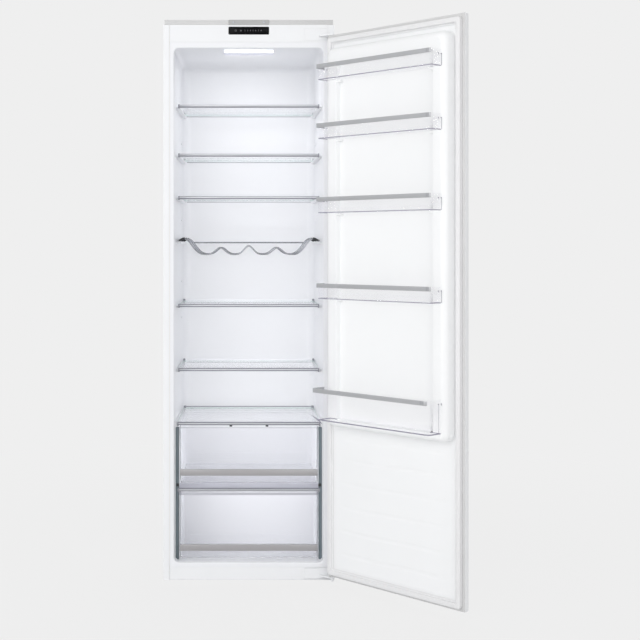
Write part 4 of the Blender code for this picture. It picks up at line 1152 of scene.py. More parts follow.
def make_guides():
    """Uprights at the front, dark with painted shade of the gaps beside the drawers, the white runners
    behind them, and a dark block at the divider.
    """
    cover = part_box("crisper_lid_trim")[1]
    blocks = bmesh.new()
    for side, name in zip(SIDES, ("left", "right")):
        node = f"crisper_guide_{name}"
        low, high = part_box(node)
        outer = max(abs(low.x), abs(high.x))
        seat = outer + 3.4 * MM
        front = low.y + 13 * MM
        tall = (low.z, high.z)
        shape = bmesh.new()
        across = (outer - 9.8 * MM, outer + 1 * MM)
        side_block(shape, side, across, (low.y, front + 1 * MM), tall, 2 * MM)
        gap_shade = set(shape.faces)
        side_block(shape, side, (outer + 0.8 * MM, seat), (low.y + 0.8 * MM, front), tall)
        side_block(shape, side, (outer - 6.4 * MM, seat), (front, high.y), tall)
        for z in (low.z + 2 * MM, (low.z + high.z) / 2 - 6 * MM, high.z - 24 * MM):
            rail = (outer - 9.4 * MM, outer - 5 * MM)
            side_block(shape, side, rail, (front, high.y - 2 * MM), (z, z + 9 * MM))
        side_block(
            shape, side, (cover.x + 1.2 * MM, seat), (low.y + 2 * MM, high.y),
            (high.z, cover.z + 1 * MM),
        )
        for face in shape.faces:
            face.material_index = int(face not in gap_shade)
        piece(f"drawer_guide_{name}", shape, ["gap_shade", "liner"], stands_for=[node])
        side_block(
            blocks, side, (outer - 10.6 * MM, outer - 1.4 * MM), (low.y - 1 * MM, low.y + 4 * MM),
            (289 * MM, 299 * MM), 1.4 * MM,
        )
    piece("guide_end_blocks", blocks, "dark")


def tub_sections(low, high, wall):
    """An open tub from its floor's outside up to the rim and down to the floor's inside."""
    draft, corner, floor_round, edge = 1 * MM, 10 * MM, 5 * MM, 0.7 * MM

    def level(z, inset, radius):
        return inset_by(low, high, "Z", z, inset, radius)

    bend = low.z + floor_round
    sections = [
        level(bend - along, draft + inward, corner - inward)
        for inward, along in reversed(rounding(floor_round, 5))
    ]
    sections += [
        level(high.z - edge, 0, corner), level(high.z, edge, corner - edge),
        level(high.z, wall - edge, corner - wall + edge), level(high.z - edge, wall, corner - wall),
        level(bend + wall, draft + wall, corner - wall),
    ]
    inner = floor_round - wall / 2
    for inward, along in rounding(inner, 4)[1:]:
        radius = max(corner - wall - inward, 1 * MM)
        sections.append(level(low.z + wall + inner - along, draft + wall + inward, radius))
    return sections


def make_drawer(name, shaded_rim_height):
    """A drawer with a rim grey with painted shade and frosted sides, and the pull band across its front.
    """
    node = f"{name}_drawer"
    low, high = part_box(node)
    rim = high.z - shaded_rim_height
    shape = bmesh.new()
    skin(shape, tub_sections(low, high, sizes().drawer_wall), "Z")
    split(shape, (0, 0, rim), (0, 0, 1))
    outwards(shape)
    for face in shape.faces:
        middle = face.calc_center_median()
        beside = abs(face.normal.x) > 0.7 and abs(middle.x) > high.x - 8 * MM
        # Faces above the rim get the grey of painted shade.
        face.material_index = 2 if middle.z > rim else int(beside)
    finishes = ["clear", "frosted", "divider"]
    piece(f"{name}_crisper", shape, finishes, node, [node])
    low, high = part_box(f"{node}_band")
    sheet = 1.8 * MM
    inner, under = low.y + sheet, high.z - sheet
    shape = bmesh.new()
    bar(shape, [
        (low.y, low.z), (inner, low.z), (inner, under), (high.y, under), (high.y, high.z),
        (low.y, high.z),
    ], low.x, high.x)
    round_edges(shape, 0.6 * MM, 3)
    piece(f"{name}_crisper_pull", shape, "band", node, [f"{node}_band"])


# The bottle rack

RACK = {
    "half": 227.5 * MM, "level": 1073 * MM, "hump": 1080 * MM, "hump_x": 209 * MM,
    "valley": 1028.5 * MM, "peak": 1050 * MM, "middle_peak": 1056 * MM, "pitch": 92.5 * MM,
    "bar": 1067 * MM, "bar_half": 198 * MM, "front": FRONT + 92 * MM, "back": FRONT + 384 * MM,
}


def rack_height(x):
    """The rack's wave: four cradles, and a hump over each side rail."""
    across, pitch, valley, hump = abs(x), RACK["pitch"], RACK["valley"], RACK["hump"]
    outer_cradle = 1.5 * pitch
    if across >= RACK["hump_x"]:
        part = (across - RACK["hump_x"]) / (RACK["half"] - RACK["hump_x"])
        return hump + (RACK["level"] - hump) * (1 - math.cos(math.pi * part)) / 2
    if across >= outer_cradle:
        part = ((across - outer_cradle) / (RACK["hump_x"] - outer_cradle)) ** 1.4
        peak = hump
    else:
        part = abs((across % pitch) / pitch * 2 - 1) ** 1.5
        peak = RACK["middle_peak"] if across < pitch / 2 else RACK["peak"]
    return valley + (peak - valley) * (1 - math.cos(math.pi * part)) / 2


def make_bottle_rack():
    """Three waves of wire on two side rails, with a bar behind them and dark sleeves on their ends."""
    radius, half, front, back = sizes().rack_wire, RACK["half"], RACK["front"], RACK["back"]
    shape = bmesh.new()
    sleeves = bmesh.new()
    count = 96
    for y in (front, (front + back) / 2, back):
        across = [half * (2 * step / count - 1) for step in range(count + 1)]
        tube_into(shape, [(x, y, rack_height(x)) for x in across], radius)
        for side in SIDES:
            ends = [side * (207 + 2 * step) * MM for step in range(10)]
            tube_into(sleeves, [(x, y, rack_height(x)) for x in ends], radius + 0.9 * MM)
    for side in SIDES:
        ends = (front - 4 * MM, back + 3 * MM)
        tube_into(shape, [(side * half, y, RACK["level"]) for y in ends], radius)
    ends = (-RACK["bar_half"], RACK["bar_half"])
    tube_into(shape, [(x, back + 1 * MM, RACK["bar"]) for x in ends], radius)
    piece("wire_bottle_rack", shape, "chrome", "bottle_rack", ["bottle_rack"], crease=50)
    piece("rack_end_sleeves", sleeves, "dark", "bottle_rack", crease=50)


# The door

DOOR_LEFT = -530 * MM
DOOR_RIGHT = 8 * MM
DOOR_LOW = 20 * MM
DOOR_HIGH = 1715.6 * MM
DOOR_RIM = 9 * MM
PAD = 15 * MM
CREST = 58 * MM
DYKE_HALF = 236 * MM
DYKE_LOW = 498 * MM
DYKE_HIGH = 1668 * MM
DYKE_CORNER = 22 * MM
# Half width, foot, head and depth of the recess between the liner's raised sides.
RECESS = (189 * MM, 523.2 * MM, 1616 * MM, 40 * MM)
GROOVES = (102 * MM, 174 * MM, 248 * MM, 321 * MM, 394 * MM, 460 * MM)


def frame_rect(n, half, low, high, radius):
    """A section centred across the door, at a distance from its furniture side."""
    return (n, DOOR_MIDDLE - half, DOOR_MIDDLE + half, low, high, radius)


def pad_sections(low, high, cap, edge):
    """The low pad that covers the door inside its flange."""
    corner = 8 * MM
    sections = [inset_by(low, high, "Y", DOOR_RIM - 1 * MM, 0, corner)]
    for inward, along in rounding(edge, 4):
        sections.append(inset_by(low, high, "Y", cap - edge + along, inward, corner - inward))
    return sections


def dyke_sections(cap):
    """The raised frame on the pad, from its foot over its crest and down into the recess."""
    half, low, high = DYKE_HALF + 3 * MM, DYKE_LOW - 3 * MM, DYKE_HIGH + 3 * MM
    sections = [frame_rect(cap - 2 * MM, half, low, high, DYKE_CORNER)]
    for inward, along in rounding(4 * MM, 4, outward=False)[1:]:
        sections.append(
            frame_rect(cap + along, half - inward, low + inward, high - inward, DYKE_CORNER)
        )
    crest = sizes().crest_radius
    lean, low_slope, high_slope = 1 * MM, 14 * MM, 21 * MM
    for inward, along in rounding(crest, 8):
        share = inward / crest
        sections.append(frame_rect(
            CREST - crest + along, DYKE_HALF - lean - inward * 0.85,
            DYKE_LOW + lean + low_slope * share, DYKE_HIGH - lean - high_slope * share,
            DYKE_CORNER,
        ))
    half, low, high, depth = RECESS
    lip, fillet, corner = 2.4 * MM, 1.8 * MM, 3 * MM
    for inward, _ in rounding(lip, 3):
        out = lip - inward
        drop = lip - math.sqrt(max(lip ** 2 - inward ** 2, 0))
        sections.append(frame_rect(CREST - drop, half + out, low - out, high + out, corner + out))
    for inward, along in rounding(fillet, 3):
        sections.append(frame_rect(
            depth + fillet - along, half - inward, low + inward, high - inward, corner - inward
        ))
    return sections


def make_door_liner():
    """The door's liner: flange, pad, raised frame with its recess, bin ledges and grooved panel."""
    shape = bmesh.new()
    skin(shape, [
        (n, DOOR_LEFT, DOOR_RIGHT, DOOR_LOW, DOOR_HIGH, 4 * MM)
        for n in (DOOR_RIM - 2 * MM, DOOR_RIM)
    ], "Y")
    border, top_border, edge = 24.6 * MM, 26.6 * MM, 3 * MM
    low = Vector((DOOR_LEFT + border, 0, DOOR_LOW + border))
    high = Vector((DOOR_RIGHT - border, 0, DOOR_HIGH - top_border))
    cap = PAD - sizes().groove_depth - 0.1 * MM
    skin(shape, pad_sections(low, high, cap, edge), "Y")
    skin(shape, dyke_sections(cap), "Y")
    outwards(shape)
    half, _, _, depth = RECESS
    for number in (1, 2, 3, 4):
        foot = door_box(f"door_bin_{number}")[0].z
        for side in SIDES:
            near, far = sorted((side * 176 * MM, side * (half + 1 * MM)))
            block(
                shape, (DOOR_MIDDLE + near, depth - 1 * MM, foot - 6.3 * MM),
                (DOOR_MIDDLE + far, CREST - 2 * MM, foot - 0.3 * MM), 1.5 * MM,
            )
    piece(
        "door_liner", shape, "door_liner", "door", ["door_inner_liner"],
        facing=False, crease=40,
    )
    make_grooved_panel(low.x + edge, high.x - edge, low.z + edge, DYKE_LOW - 2 * MM, cap)


def eased(value):
    """A value held between 0 and 1 and eased at both ends."""
    value = min(1.0, max(0.0, value))
    return value * value * (3 - 2 * value)


def groove_dip(x, z):
    """How deep the nearest groove is at a place, from 0 to 1."""
    start, end = DOOR_MIDDLE - 209 * MM, DOOR_MIDDLE + 210 * MM
    fade = 26 * MM
    bow = 2.0 * MM * math.sin(2 * math.pi * (x - start) / (end - start))
    near = min(abs(z - level - bow) for level in GROOVES)
    width = sizes().groove_width
    across = 0.0 if near > width else (1 + math.cos(math.pi * near / width)) / 2
    return across * eased(min(x - start, end - x) / fade)


def make_grooved_panel(left, right, low, high, level):
    """The door liner's lower panel: a soft field with six shallow grooves across it."""
    shape = bmesh.new()
    middle = Matrix.Translation(((left + right) / 2, level, (low + high) / 2))
    turn = Matrix.Rotation(-math.pi / 2, 4, "X")
    scale = Matrix.Diagonal((right - left, high - low, 1, 1))
    bmesh.ops.create_grid(
        shape, x_segments=48, y_segments=230, size=0.5, matrix=middle @ turn @ scale
    )
    ramp = 12 * MM
    for vert in shape.verts:
        x, z = vert.co.x, vert.co.z
        rise = eased(min(x - left, right - x, z - low, high - z) / ramp)
        vert.co.y = level + 0.02 * MM + sizes().groove_depth * rise * (1 - groove_dip(x, z))
    turn_to(shape, shape.faces[:][0], 1)
    piece("door_lower_panel", shape, "door_liner", "door", facing=False)


def make_gasket():
    """Magnetic gasket: a bellows foot, a fold, and the cushion round the magnet."""
    low, high = door_box("door_gasket")
    band, cushion, lip = 15, 3 * MM, 6
    foot, crest = low.y, high.y

    def ring(n, inset, radius):
        return inset_by(low, high, "Y", n, inset, radius)

    def rings(*rows):
        return [ring(foot + n * MM, inset * MM, radius * MM) for n, inset, radius in rows]

    sections = rings(
        (0, 2.0, 8), (2.2, 1.2, 8), (3.6, 2.4, 7.5), (4.8, 3.2, 7.2), (6.0, 2.4, 7.5), (7.4, 0.6, 8)
    )
    over = rounding(cushion, 4)
    for inward, along in over:
        sections.append(ring(crest - cushion + along, inward, 8 * MM - inward * 0.5))
    for inward, along in reversed(over):
        sections.append(ring(crest - cushion + along, band * MM - inward, 4 * MM + inward * 0.5))
    sections += rings(
        (7.4, band - 0.2, 4), (6.9, band + 0.6, 4), (6.5, band + lip - 0.6, 3), (6.2, band + lip, 3),
        (5.8, band + lip - 0.4, 3), (5.8, band - 2.4, 4.6), (4.8, band - 2.8, 5),
        (3.6, band - 2.0, 4.6), (2.2, band - 1.0, 4), (0, band - 2.0, 4.6),
    )
    shape = bmesh.new()
    skin(shape, sections, "Y")
    caps = sorted(shape.faces, key=lambda face: len(face.verts))[-2:]
    bmesh.ops.delete(shape, geom=caps, context="FACES")
    bmesh.ops.bridge_loops(shape, edges=[edge for edge in shape.edges if edge.is_boundary])
    piece("magnetic_gasket", shape, "vinyl", "door", ["door_gasket"])


def make_flange_shade_sheet():
    """A thin grey sheet on the door's flange outside the gasket: painted shade that darkens the flange.
    """
    low, high = door_box("door_gasket")
    rim_low, rim_high = door_box("door_inner_liner")
    rim, under = 0.8 * MM, 2.4 * MM
    near, far = low.y + 0.1 * MM, low.y + 1.2 * MM
    left, right, base, head = rim_low.x + rim, rim_high.x - rim, rim_low.z + rim, rim_high.z - rim
    inner = (low.x + under, high.x - under)
    shape = bmesh.new()
    for across, up in (
        ((left, inner[0]), (base, head)), ((inner[1], right), (base, head)),
        (inner, (base, low.z + under)), (inner, (high.z - under, head)),
    ):
        block(shape, (across[0], near, up[0]), (across[1], far, up[1]), 0.4 * MM)
    piece("flange_shade_sheet", shape, "strip", "door")


def make_door_fittings():
    """Bushes round the hinge pins."""
    shape = bmesh.new()
    for height, way in ((DOOR_HIGH, 1), (DOOR_LOW, -1)):
        bush = [(5.2, -1), (5.2, 0.7), (8, 0.7), (8.4, 0.1), (8.4, -1)]
        turned(shape, [(radius, way * h) for radius, h in bush], (0, 0, height), 28)
    piece("hinge_bushes", shape, "nylon", "door")


def bin_corners(front, back, lean_front=0.0, lean_hinge=0.0):
    """A bin's eight corners from above: its wide front part and the tail between the frame's sides."""
    low, high, tail, tail_back = BIN_FREE_END, BIN_HINGE_END - lean_hinge, 184 * MM, 42 * MM
    free = low + lean_front / 4
    face = front - lean_front
    corners = [
        (high, back), (high, face), (free, face), (free, back), (-tail, back), (-tail, tail_back),
        (tail, tail_back), (tail, back),
    ]
    return [(DOOR_MIDDLE + x, y) for x, y in corners]


def bin_hull(low, high, back, form, foot_round):
    """A bin's outside, open at the top, with its corners and its foot rounded."""
    lean_front, lean_hinge, corner = form
    front, shoulder, tail = high.y, high.z - 16 * MM, low.z + 18 * MM
    levels = {4: shoulder, 5: tail, 6: tail, 7: shoulder}
    shape = bmesh.new()
    foot = [(x, y, low.z) for x, y in bin_corners(front, back, lean_front, lean_hinge)]
    lid = drawn_out(shape, [flat_face(shape, foot)])
    tops = bin_corners(front, back)
    uprights = {}
    for vert in lid.verts:
        index = min(range(8), key=lambda i: (Vector(foot[i]) - vert.co).length)
        vert.co = (*tops[index], levels.get(index, high.z))
        uprights[index] = vert
    outwards(shape)
    for radius, indexes in ((corner, (2,)), (4 * MM, (1,)), (3 * MM, (5, 6))):
        edges = [
            edge for index in indexes for edge in uprights[index].link_edges
            if abs((edge.verts[0].co - edge.verts[1].co).z) > 10 * MM and lid not in edge.link_faces
        ]
        bevel(shape, edges, radius, 6, clamp=False)
    lid = max(shape.faces, key=lambda face: face.calc_center_median().z)
    bmesh.ops.delete(shape, geom=[lid], context="FACES_ONLY")

    def foot_edges(beyond=-1.0):
        return [
            edge for edge in shape.edges
            if all(v.co.z < low.z + 0.01 * MM and v.co.x > beyond for v in edge.verts)
        ]

    if foot_round:
        hinge_end = DOOR_MIDDLE + BIN_HINGE_END - lean_hinge
        bevel(shape, foot_edges(hinge_end - 1 * MM), foot_round, 6)
    bevel(shape, [edge for edge in foot_edges() if edge.calc_face_angle(0) > 0.5], 2.6 * MM, 3)
    return shape


def make_bin(number):
    """A clear bin whose foot is painted a lilac grey as edge shade, with its strip, its notches and its
    ribs.
    """
    node = f"door_bin_{number}"
    low, high = door_box(node)
    back, foot_line = 58.6 * MM, low.z + 3.2 * MM
    form = BIN_FORMS[number]
    shape = bin_hull(low, high, back, form, 13 * MM if form is LARGE_BIN else 0.0)
    split(shape, (0, 0, foot_line), (0, 0, 1))
    bmesh.ops.solidify(shape, geom=shape.faces, thickness=sizes().bin_wall)
    outwards(shape)
    for face in shape.faces:
        middle = face.calc_center_median()
        # Low faces at the bin's front get the lilac grey of painted edge shade.
        shaded_foot = middle.z < foot_line and abs(face.normal.z) < 0.95
        face.material_index = int(shaded_foot and middle.y > back + 1 * MM)
    piece(f"clear_bin_{number}", shape, ["bin_clear", "edge"], node, [node])
    make_bin_strip(number, high.y, form[2])
    make_bin_ribs(number, low, high)


def make_bin_strip(number, front, corner):
    """The silver strip on a bin's rim, with a return on the hinge's side and a cut end beyond."""
    body, node = f"door_bin_{number}", f"bin_trim_{number}"
    low, high = door_box(node)
    gap, thick = 0.3 * MM, 2 * MM
    hinge, free = DOOR_MIDDLE + BIN_HINGE_END + gap, DOOR_MIDDLE + BIN_FREE_END - gap
    face = front + gap
    shape = bmesh.new()
    places = [(hinge, low.y), (hinge, face), (free, face), (free, face - 2 * corner)]
    verts = [shape.verts.new((x, y, low.z)) for x, y in places]
    for pair in zip(verts, verts[1:]):
        shape.edges.new(pair)
    for vert, radius in ((verts[1], 4 * MM), (verts[2], corner)):
        bevel(shape, [vert], radius + gap, 8, "VERTICES", False)
    drawn = bmesh.ops.extrude_edge_only(shape, edges=shape.edges[:])
    tops = made_of(drawn, bmesh.types.BMVert)
    bmesh.ops.translate(shape, verts=tops, vec=(0, 0, high.z - low.z))
    centre = Vector((free + corner + gap, face - corner - gap, 0))
    split(shape, centre, (-1, -1, 0), clear_outer=True)
    outwards(shape)
    turn_to(shape, max(shape.faces, key=lambda item: item.calc_area()), -1)
    bmesh.ops.solidify(shape, geom=shape.faces, thickness=thick)
    outwards(shape)
    round_edges(shape, 0.4 * MM, 2, 60)
    piece(f"bin_strip_{number}", shape, "bin_trim", body, [node])
    # The two notches are dark blocks on the strip: their dark is painted shade of the cuts.
    notches = bmesh.new()
    for along in (corner + 1.5 * MM, corner + 8 * MM):
        block(
            notches, (free + along, high.y - 1 * MM, low.z + 0.5 * MM),
            (free + along + 1.6 * MM, high.y + 0.15 * MM, high.z - 0.5 * MM), 0.1 * MM, 1,
        )
    piece(f"strip_notches_{number}", notches, "trim_shade", body)


def make_bin_ribs(number, low, high):
    """Hooks that hold a bin on the door liner's frame, with ribs below them at the free end."""
    top = high.z - 11 * MM
    rows = (58.7 * MM, 71 * MM)
    long_rib = rows[1] if number == 5 else rows[0]
    ribs = bmesh.new()
    for side, end in zip(SIDES, (BIN_FREE_END, BIN_HINGE_END)):
        if side > 0 and number == 5:
            continue
        wall = DOOR_MIDDLE + end
        near, far = sorted((wall - side * 1.0 * MM, wall + side * 1.4 * MM))
        for y in rows:
            block(ribs, (near, y - 0.5 * MM, top - 2.4 * MM), (far, y + 2.4 * MM, top), 0.5 * MM)
            foot = low.z + 2 * MM if y == long_rib else top - 6 * MM
            if side < 0:
                block(ribs, (near, y, foot), (near + 1 * MM, y + 0.9 * MM, top - 1 * MM), 0.3 * MM)
    # The ribs take the lilac grey of painted edge shade.
    piece(f"bin_ribs_{number}", ribs, "edge", f"door_bin_{number}")


# The cold circuit

def make_compressor():
    """Hermetic compressor: two deep-drawn halves with a welded seam, on rubber mounts."""
    centre = Vector((90 * MM, FRONT + 400 * MM, 0))
    shape = bmesh.new()
    turned(shape, [
        (0, 178), (22, 177), (38, 174), (50, 168), (58, 160), (65, 150), (70, 138), (72, 124),
        (73, 110), (73, 101.5), (76.5, 101), (77, 100), (77, 95), (76.5, 94), (73, 93.5), (73, 62),
        (72, 46), (70, 34), (65, 22), (58, 14), (48, 9.5), (40, 8), (0, 8),
    ], centre, 48)
    corners = [
        centre + Vector((side * 90, side * 55, z)) * MM for side, z in zip(SIDES, (7.5, 10.3))
    ]
    block(shape, *corners, 1.2 * MM)
    piece("sealed_compressor", shape, "enamel", stands_for=["compressor"])
    mounts = bmesh.new()
    bolts = bmesh.new()
    grommet = [
        (0, 14), (6, 14), (7, 13), (7, 11), (5, 10.5), (5, 7.5), (8.5, 7), (9, 6), (9, 2.4), (0, 2.4),
    ]
    for x in (-78, 78):
        for y in (-44, 44):
            place = centre + Vector((x, y, 0)) * MM
            turned(mounts, grommet, place, 20)
            screw_head(bolts, place + Vector((0, 0, 14.5 * MM)), (0, 0, 1), 4)
    piece("compressor_mounts", mounts, "rubber")
    piece("compressor_bolts", bolts, "screw")
    pipes = bmesh.new()
    for route in (
        (
            (60, -30, 130), (84, -40, 132), (98, -45, 150), (100, -48, 190), (92, -60, 220),
            (60, -80, 232), (20, -96, 244),
        ),
        ((40, 52, 120), (52, 70, 124), (56, 78, 138), (56, 80, 168)),
    ):
        places = [(centre.x + x * MM, centre.y + y * MM, z * MM) for x, y, z in route]
        tube_into(pipes, places, 3.2 * MM, smooth=True)
    piece("copper_pipes", pipes, "copper", crease=50)


def make_relay():
    """The start relay's box, with a raised front and three ribs on its side."""
    low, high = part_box("start_relay")
    shape = bmesh.new()
    block(shape, low, high, 4 * MM, 4)
    block(
        shape, (low.x + 6 * MM, low.y - 0.6 * MM, low.z + 8 * MM),
        (high.x - 6 * MM, low.y + 3 * MM, high.z - 8 * MM), 1 * MM,
    )
    for share in (0.3, 0.5, 0.7):
        z = low.z + (high.z - low.z) * share
        block(
            shape, (low.x - 0.6 * MM, low.y + 10 * MM, z - 1.5 * MM),
            (low.x + 2 * MM, high.y - 10 * MM, z + 1.5 * MM), 0.7 * MM,
        )
    piece("relay_cover", shape, "dark", stands_for=["start_relay"])


def coil_route():
    """From the compressor's side up the back in thirteen passes, then down beside them."""
    # Until the last line X and Z are in millimetres, and Y in metres.
    y = BACK + 0.3 * MM + sizes().coil_tube
    depth, start, low, pitch, passes, half = FRONT + 400 * MM, 172, 340, 100, 13, 165
    arc = pitch / 2
    top, outer = low + (passes - 1) * pitch, half + arc + 22
    route = [
        (start, depth, 60), (start + 20, depth, 60), (start + 34, depth + 30 * MM, 62),
        (start + 40, y - 20 * MM, 70), (start + 40, y - 4 * MM, 90), (start + 40, y, 112),
        (start + 40, y, low - 24), (start + 36, y, low - 12), (start + 27, y, low - 4),
        (start + 12, y, low),
    ]
    for number in range(passes):
        side = SIDES[number % 2]
        for step in range(1 if number == passes - 1 else 13):
            turn = math.pi * step / 12
            z = low + number * pitch + arc * (1 - math.cos(turn))
            route.append((side * (half + arc * math.sin(turn)), y, z))
    route += [
        (22 - outer, y, top), (10 - outer, y, top - 3), (3 - outer, y, top - 10),
        (-outer, y, top - 22), (-outer, y, 200),
    ]
    return [(x * MM, y, z * MM) for x, y, z in route]


def make_condenser():
    """Wire-on-tube condenser: a steel tube with wires spot-welded across its passes."""
    shape = bmesh.new()
    tube, wire, count = sizes().coil_tube, sizes().coil_wire, sizes().coil_wires
    tube_into(shape, coil_route(), tube, 2)
    y = BACK + 0.3 * MM + 2 * tube + wire * 0.6
    half, middle, tall = 158 * MM, 940 * MM, 1216 * MM
    for number in range(count):
        matrix = Matrix.Translation((half * (2 * number / (count - 1) - 1), y, middle))
        bmesh.ops.create_cone(
            shape, cap_ends=True, segments=6, radius1=wire, radius2=wire, depth=tall, matrix=matrix
        )
    piece(
        "wire_condenser", shape, "enamel", stands_for=["condenser_coil"], crease=50
    )
    clips = bmesh.new()
    for side in SIDES:
        for z in (middle - 500 * MM, middle, middle + 500 * MM):
            side_block(
                clips, side, (111 * MM, 129 * MM), (BACK - 0.2 * MM, BACK + 6.4 * MM),
                (z - 7 * MM, z + 7 * MM), 1.5 * MM,
            )
    piece("condenser_clips", clips, "nylon")


def dress_casing():
    """Finishes for the CAD nodes whose own shape is shown."""
    dress(
        "steel", "side_panel_left", "side_panel_right", "plinth_strip", "top_fascia",
        "door_outer_panel", "hinge_cover", "upper_hinge", "lower_hinge", "base_plate",
    )
    dress("galvanised", "top_panel", "back_panel", "bay_liner")
    dress("foam", "foam_insulation", "door_foam")
    dress("aluminium", "evaporator_plate")
    dress(
        "dark", "control_board_box", "drip_tray", "mains_inlet_gland", "levelling_foot_left",
        "levelling_foot_right",
    )


# The studio

def make_stage():
    room = colours().room
    make_floor(room)
    make_world(room)
    make_lights()
    make_camera()
    bpy.context.scene.view_settings.view_transform = "Standard"


def make_floor(room):
    """A broad pale floor whose own colour shows, darkened where the refrigerator shades it."""
    shape = bmesh.new()
    bmesh.ops.create_grid(shape, x_segments=1, y_segments=1, size=30.0)
    floor = as_object("studio_floor", shape)
    material = surface("pale_studio_floor", room, Roughness=0.9, Specular_IOR_Level=0.0)
    tree, shader, place = insides(material)
    glow = add(tree, "Emission", {"Color": (*room, 1), "Strength": 1.0})
    camera_ray = add(tree, "LightPath", {}).outputs["Is Camera Ray"]
    reach = add(tree, "VectorMath", {0: place}, operation="LENGTH")
    own = add(tree, "MapRange", {
        "Value": reach.outputs["Value"], "From Min": 0.5, "From Max": 2.5, "To Min": 0.92, "To Max": 1.0,
    })
    seen = add(tree, "Math", {0: camera_ray, 1: own.outputs["Result"]}, operation="MULTIPLY")
    blend = add(tree, "MixShader", {0: seen.outputs[0], 1: shader.outputs[0], 2: glow.outputs[0]})
    tree.links.new(blend.outputs[0], tree.nodes["Material Output"].inputs["Surface"])
    floor.data.materials.append(material)


def make_world(room):
    """Plain light from all round, with the backdrop's colour where the camera or a gloss sees it."""
    world = bpy.data.worlds.new("studio")
    bpy.context.scene.world = world
    world.use_nodes = True
    tree = world.node_tree
    light = tree.nodes["Background"]
    light.inputs["Color"].default_value = (1, 1, 1, 1)
    light.inputs["Strength"].default_value = 0.54
    backdrop = add(tree, "Background", {"Color": (*room, 1), "Strength": 1.0})
    rays = add(tree, "LightPath", {}).outputs
    sees = rays["Is Camera Ray"]
    for ray in ("Transmission", "Glossy"):
        sees = add(tree, "Math", {0: sees, 1: rays[f"Is {ray} Ray"]}, operation="MAXIMUM").outputs[0]
    blend = add(tree, "MixShader", {0: sees, 1: light.outputs[0], 2: backdrop.outputs[0]})
    tree.links.new(blend.outputs[0], tree.nodes["World Output"].inputs["Surface"])


def make_lights():
    """Soft boxes round the refrigerator, and four inside: the lamp's glow, and three at the opening."""
    for name, place, aim, width, tall, power in (
        ("key_box", (-2.8, -4.2, 2.5), (0.1, 0, 0.9), 4.2, 4.2, 106),
        ("fill_box", (1.8, -4.5, 1.4), (0.2, 0, 0.9), 2.4, 2.4, 32),
        ("rear_box", (0.6, 4.4, 2.6), (0.1, 0, 0.9), 3.0, 3.0, 90),
        ("shelf_fill", (0, -0.21, 1.12), (0, 0, 1.12), 0.44, 1.04, 0.31),
        ("lamp_glow", (0, -0.178, 1.668), (0, 0.02, 1.3), 0.15, 0.05, 0.52),
        ("upper_crisper_fill", (0, -0.205, 0.39), (0, 0, 0.39), 0.43, 0.15, 0.33),
        ("lower_crisper_fill", (0, -0.205, 0.165), (0, 0, 0.165), 0.43, 0.19, 0.03),
    ):
        light = bpy.data.lights.new(name, "AREA")
        light.shape = "RECTANGLE"
        light.size = width
        light.size_y = tall
        light.energy = power
        if width < 1:
            light.spread = math.radians(90 if tall > 1 else 170)
        lamp = linked(name, light)
        lamp.location = place
        lamp.rotation_euler = (Vector(aim) - Vector(place)).to_track_quat("-Z", "Y").to_euler()
        lamp.visible_camera = False
        lamp.visible_glossy = width > 1
        lamp.visible_transmission = width > 1


def make_camera():
    """The photograph's camera: level, straight on, 4.2 m away, with the cabinet left of centre."""
    camera = bpy.data.cameras.new("photo_camera")
    camera.lens = 70.54
    camera.sensor_width = 36
    camera.shift_x = 0.1113
    camera.shift_y = -0.1159
    thing = linked("photo_camera", camera)
    thing.location = (0, -4.2126, 1.0559)
    thing.rotation_euler = (math.pi / 2, 0, 0)
    bpy.context.scene.camera = thing


# Operators, panel and registration

class BuildCasing(bpy.types.Operator):
    """Finish the casing's sheets and add its screws"""

    bl_idname = "refrigerator.build_casing"
    bl_label = "Casing"

    def execute(self, context):
        dress_casing()
        make_casing_details()
        return {"FINISHED"}


class BuildLiner(bpy.types.Operator):
    """Build the cabinet's liner with its shelf ledges and drain"""

    bl_idname = "refrigerator.build_liner"
    bl_label = "Liner"

    def execute(self, context):
        make_liner()
        make_ledges()
        make_wall_details()
        return {"FINISHED"}


class BuildControls(bpy.types.Operator):
    """Build the touch panel, the lamp, the closing strip and the niche bracket"""

    bl_idname = "refrigerator.build_controls"
    bl_label = "Controls and lamp"

    def execute(self, context):
        make_display()
        make_lamp()
        make_top_strip()
        return {"FINISHED"}


class BuildShelves(bpy.types.Operator):
    """Build the five glass shelves with their strips"""

    bl_idname = "refrigerator.build_shelves"
    bl_label = "Shelves"

    def execute(self, context):
        make_shelves()
        return {"FINISHED"}


class BuildCrispers(bpy.types.Operator):
    """Build the crisper cover, the divider and both drawers"""

    bl_idname = "refrigerator.build_crispers"
    bl_label = "Crispers"

    def execute(self, context):
        make_crisper_lid()
        make_divider()
        make_guides()
        make_drawer("upper", 1.6 * MM)
        make_drawer("lower", 8 * MM)
        return {"FINISHED"}


class BuildBottleRack(bpy.types.Operator):
    """Build the wire bottle rack"""

    bl_idname = "refrigerator.build_bottle_rack"
    bl_label = "Bottle rack"

    def execute(self, context):
        make_bottle_rack()
        return {"FINISHED"}


class BuildDoor(bpy.types.Operator):
    """Build the door's liner, gasket and fittings"""

    bl_idname = "refrigerator.build_door"
    bl_label = "Door"

    def execute(self, context):
        make_door_liner()
        make_gasket()
        make_flange_shade_sheet()
        make_door_fittings()
        return {"FINISHED"}


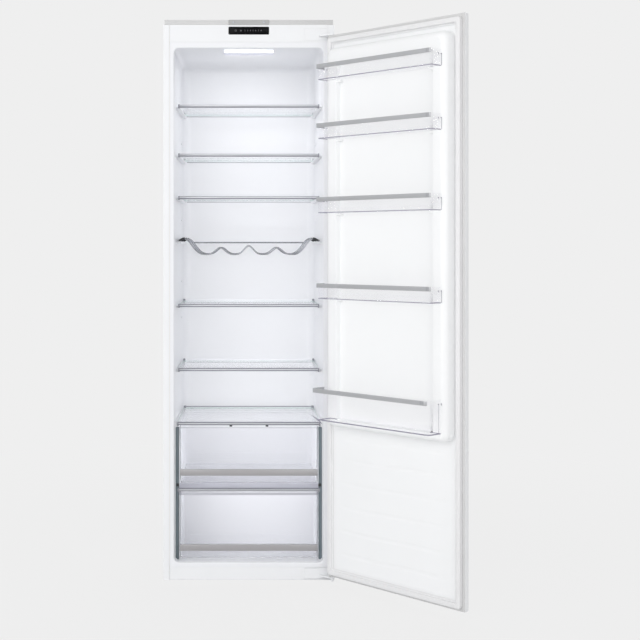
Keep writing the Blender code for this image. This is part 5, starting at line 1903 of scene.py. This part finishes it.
class BuildDoorBins(bpy.types.Operator):
    """Build the five door bins with their strips and hooks"""

    bl_idname = "refrigerator.build_door_bins"
    bl_label = "Door bins"

    def execute(self, context):
        for number in BIN_FORMS:
            make_bin(number)
        return {"FINISHED"}


class BuildColdCircuit(bpy.types.Operator):
    """Build the compressor, its relay and the condenser"""

    bl_idname = "refrigerator.build_cold_circuit"
    bl_label = "Cold circuit"

    def execute(self, context):
        make_compressor()
        make_relay()
        make_condenser()
        return {"FINISHED"}


class BuildStudio(bpy.types.Operator):
    """Set up the floor, the light and the camera"""

    bl_idname = "refrigerator.build_studio"
    bl_label = "Studio"

    def execute(self, context):
        make_stage()
        return {"FINISHED"}


STEPS = (
    BuildCasing, BuildLiner, BuildControls, BuildShelves, BuildCrispers, BuildBottleRack, BuildDoor,
    BuildDoorBins, BuildColdCircuit, BuildStudio,
)


class RefrigeratorPanel(bpy.types.Panel):
    """Lists the refrigerator's sizes, colours and steps"""

    bl_idname = "VIEW3D_PT_refrigerator"
    bl_label = "Column Refrigerator"
    bl_space_type = "VIEW_3D"
    bl_region_type = "UI"
    bl_category = "Refrigerator"

    def draw(self, context):
        layout = self.layout
        for group in (context.scene.refrigerator_sizes, context.scene.refrigerator_colours):
            box = layout.box()
            for name in group.bl_rna.properties.keys():
                if name not in ("rna_type", "name"):
                    box.prop(group, name)
        for step in STEPS:
            layout.operator(step.bl_idname)


CLASSES = (RefrigeratorSizes, RefrigeratorColours, *STEPS, RefrigeratorPanel)


def register():
    for item in CLASSES:
        bpy.utils.register_class(item)
    bpy.types.Scene.refrigerator_sizes = PointerProperty(type=RefrigeratorSizes)
    bpy.types.Scene.refrigerator_colours = PointerProperty(type=RefrigeratorColours)


def unregister():
    del bpy.types.Scene.refrigerator_colours
    del bpy.types.Scene.refrigerator_sizes
    for item in reversed(CLASSES):
        bpy.utils.unregister_class(item)


def main():
    register()
    for step in STEPS:
        group, name = step.bl_idname.split(".")
        getattr(getattr(bpy.ops, group), name)()


if __name__ == "__main__":
    main()
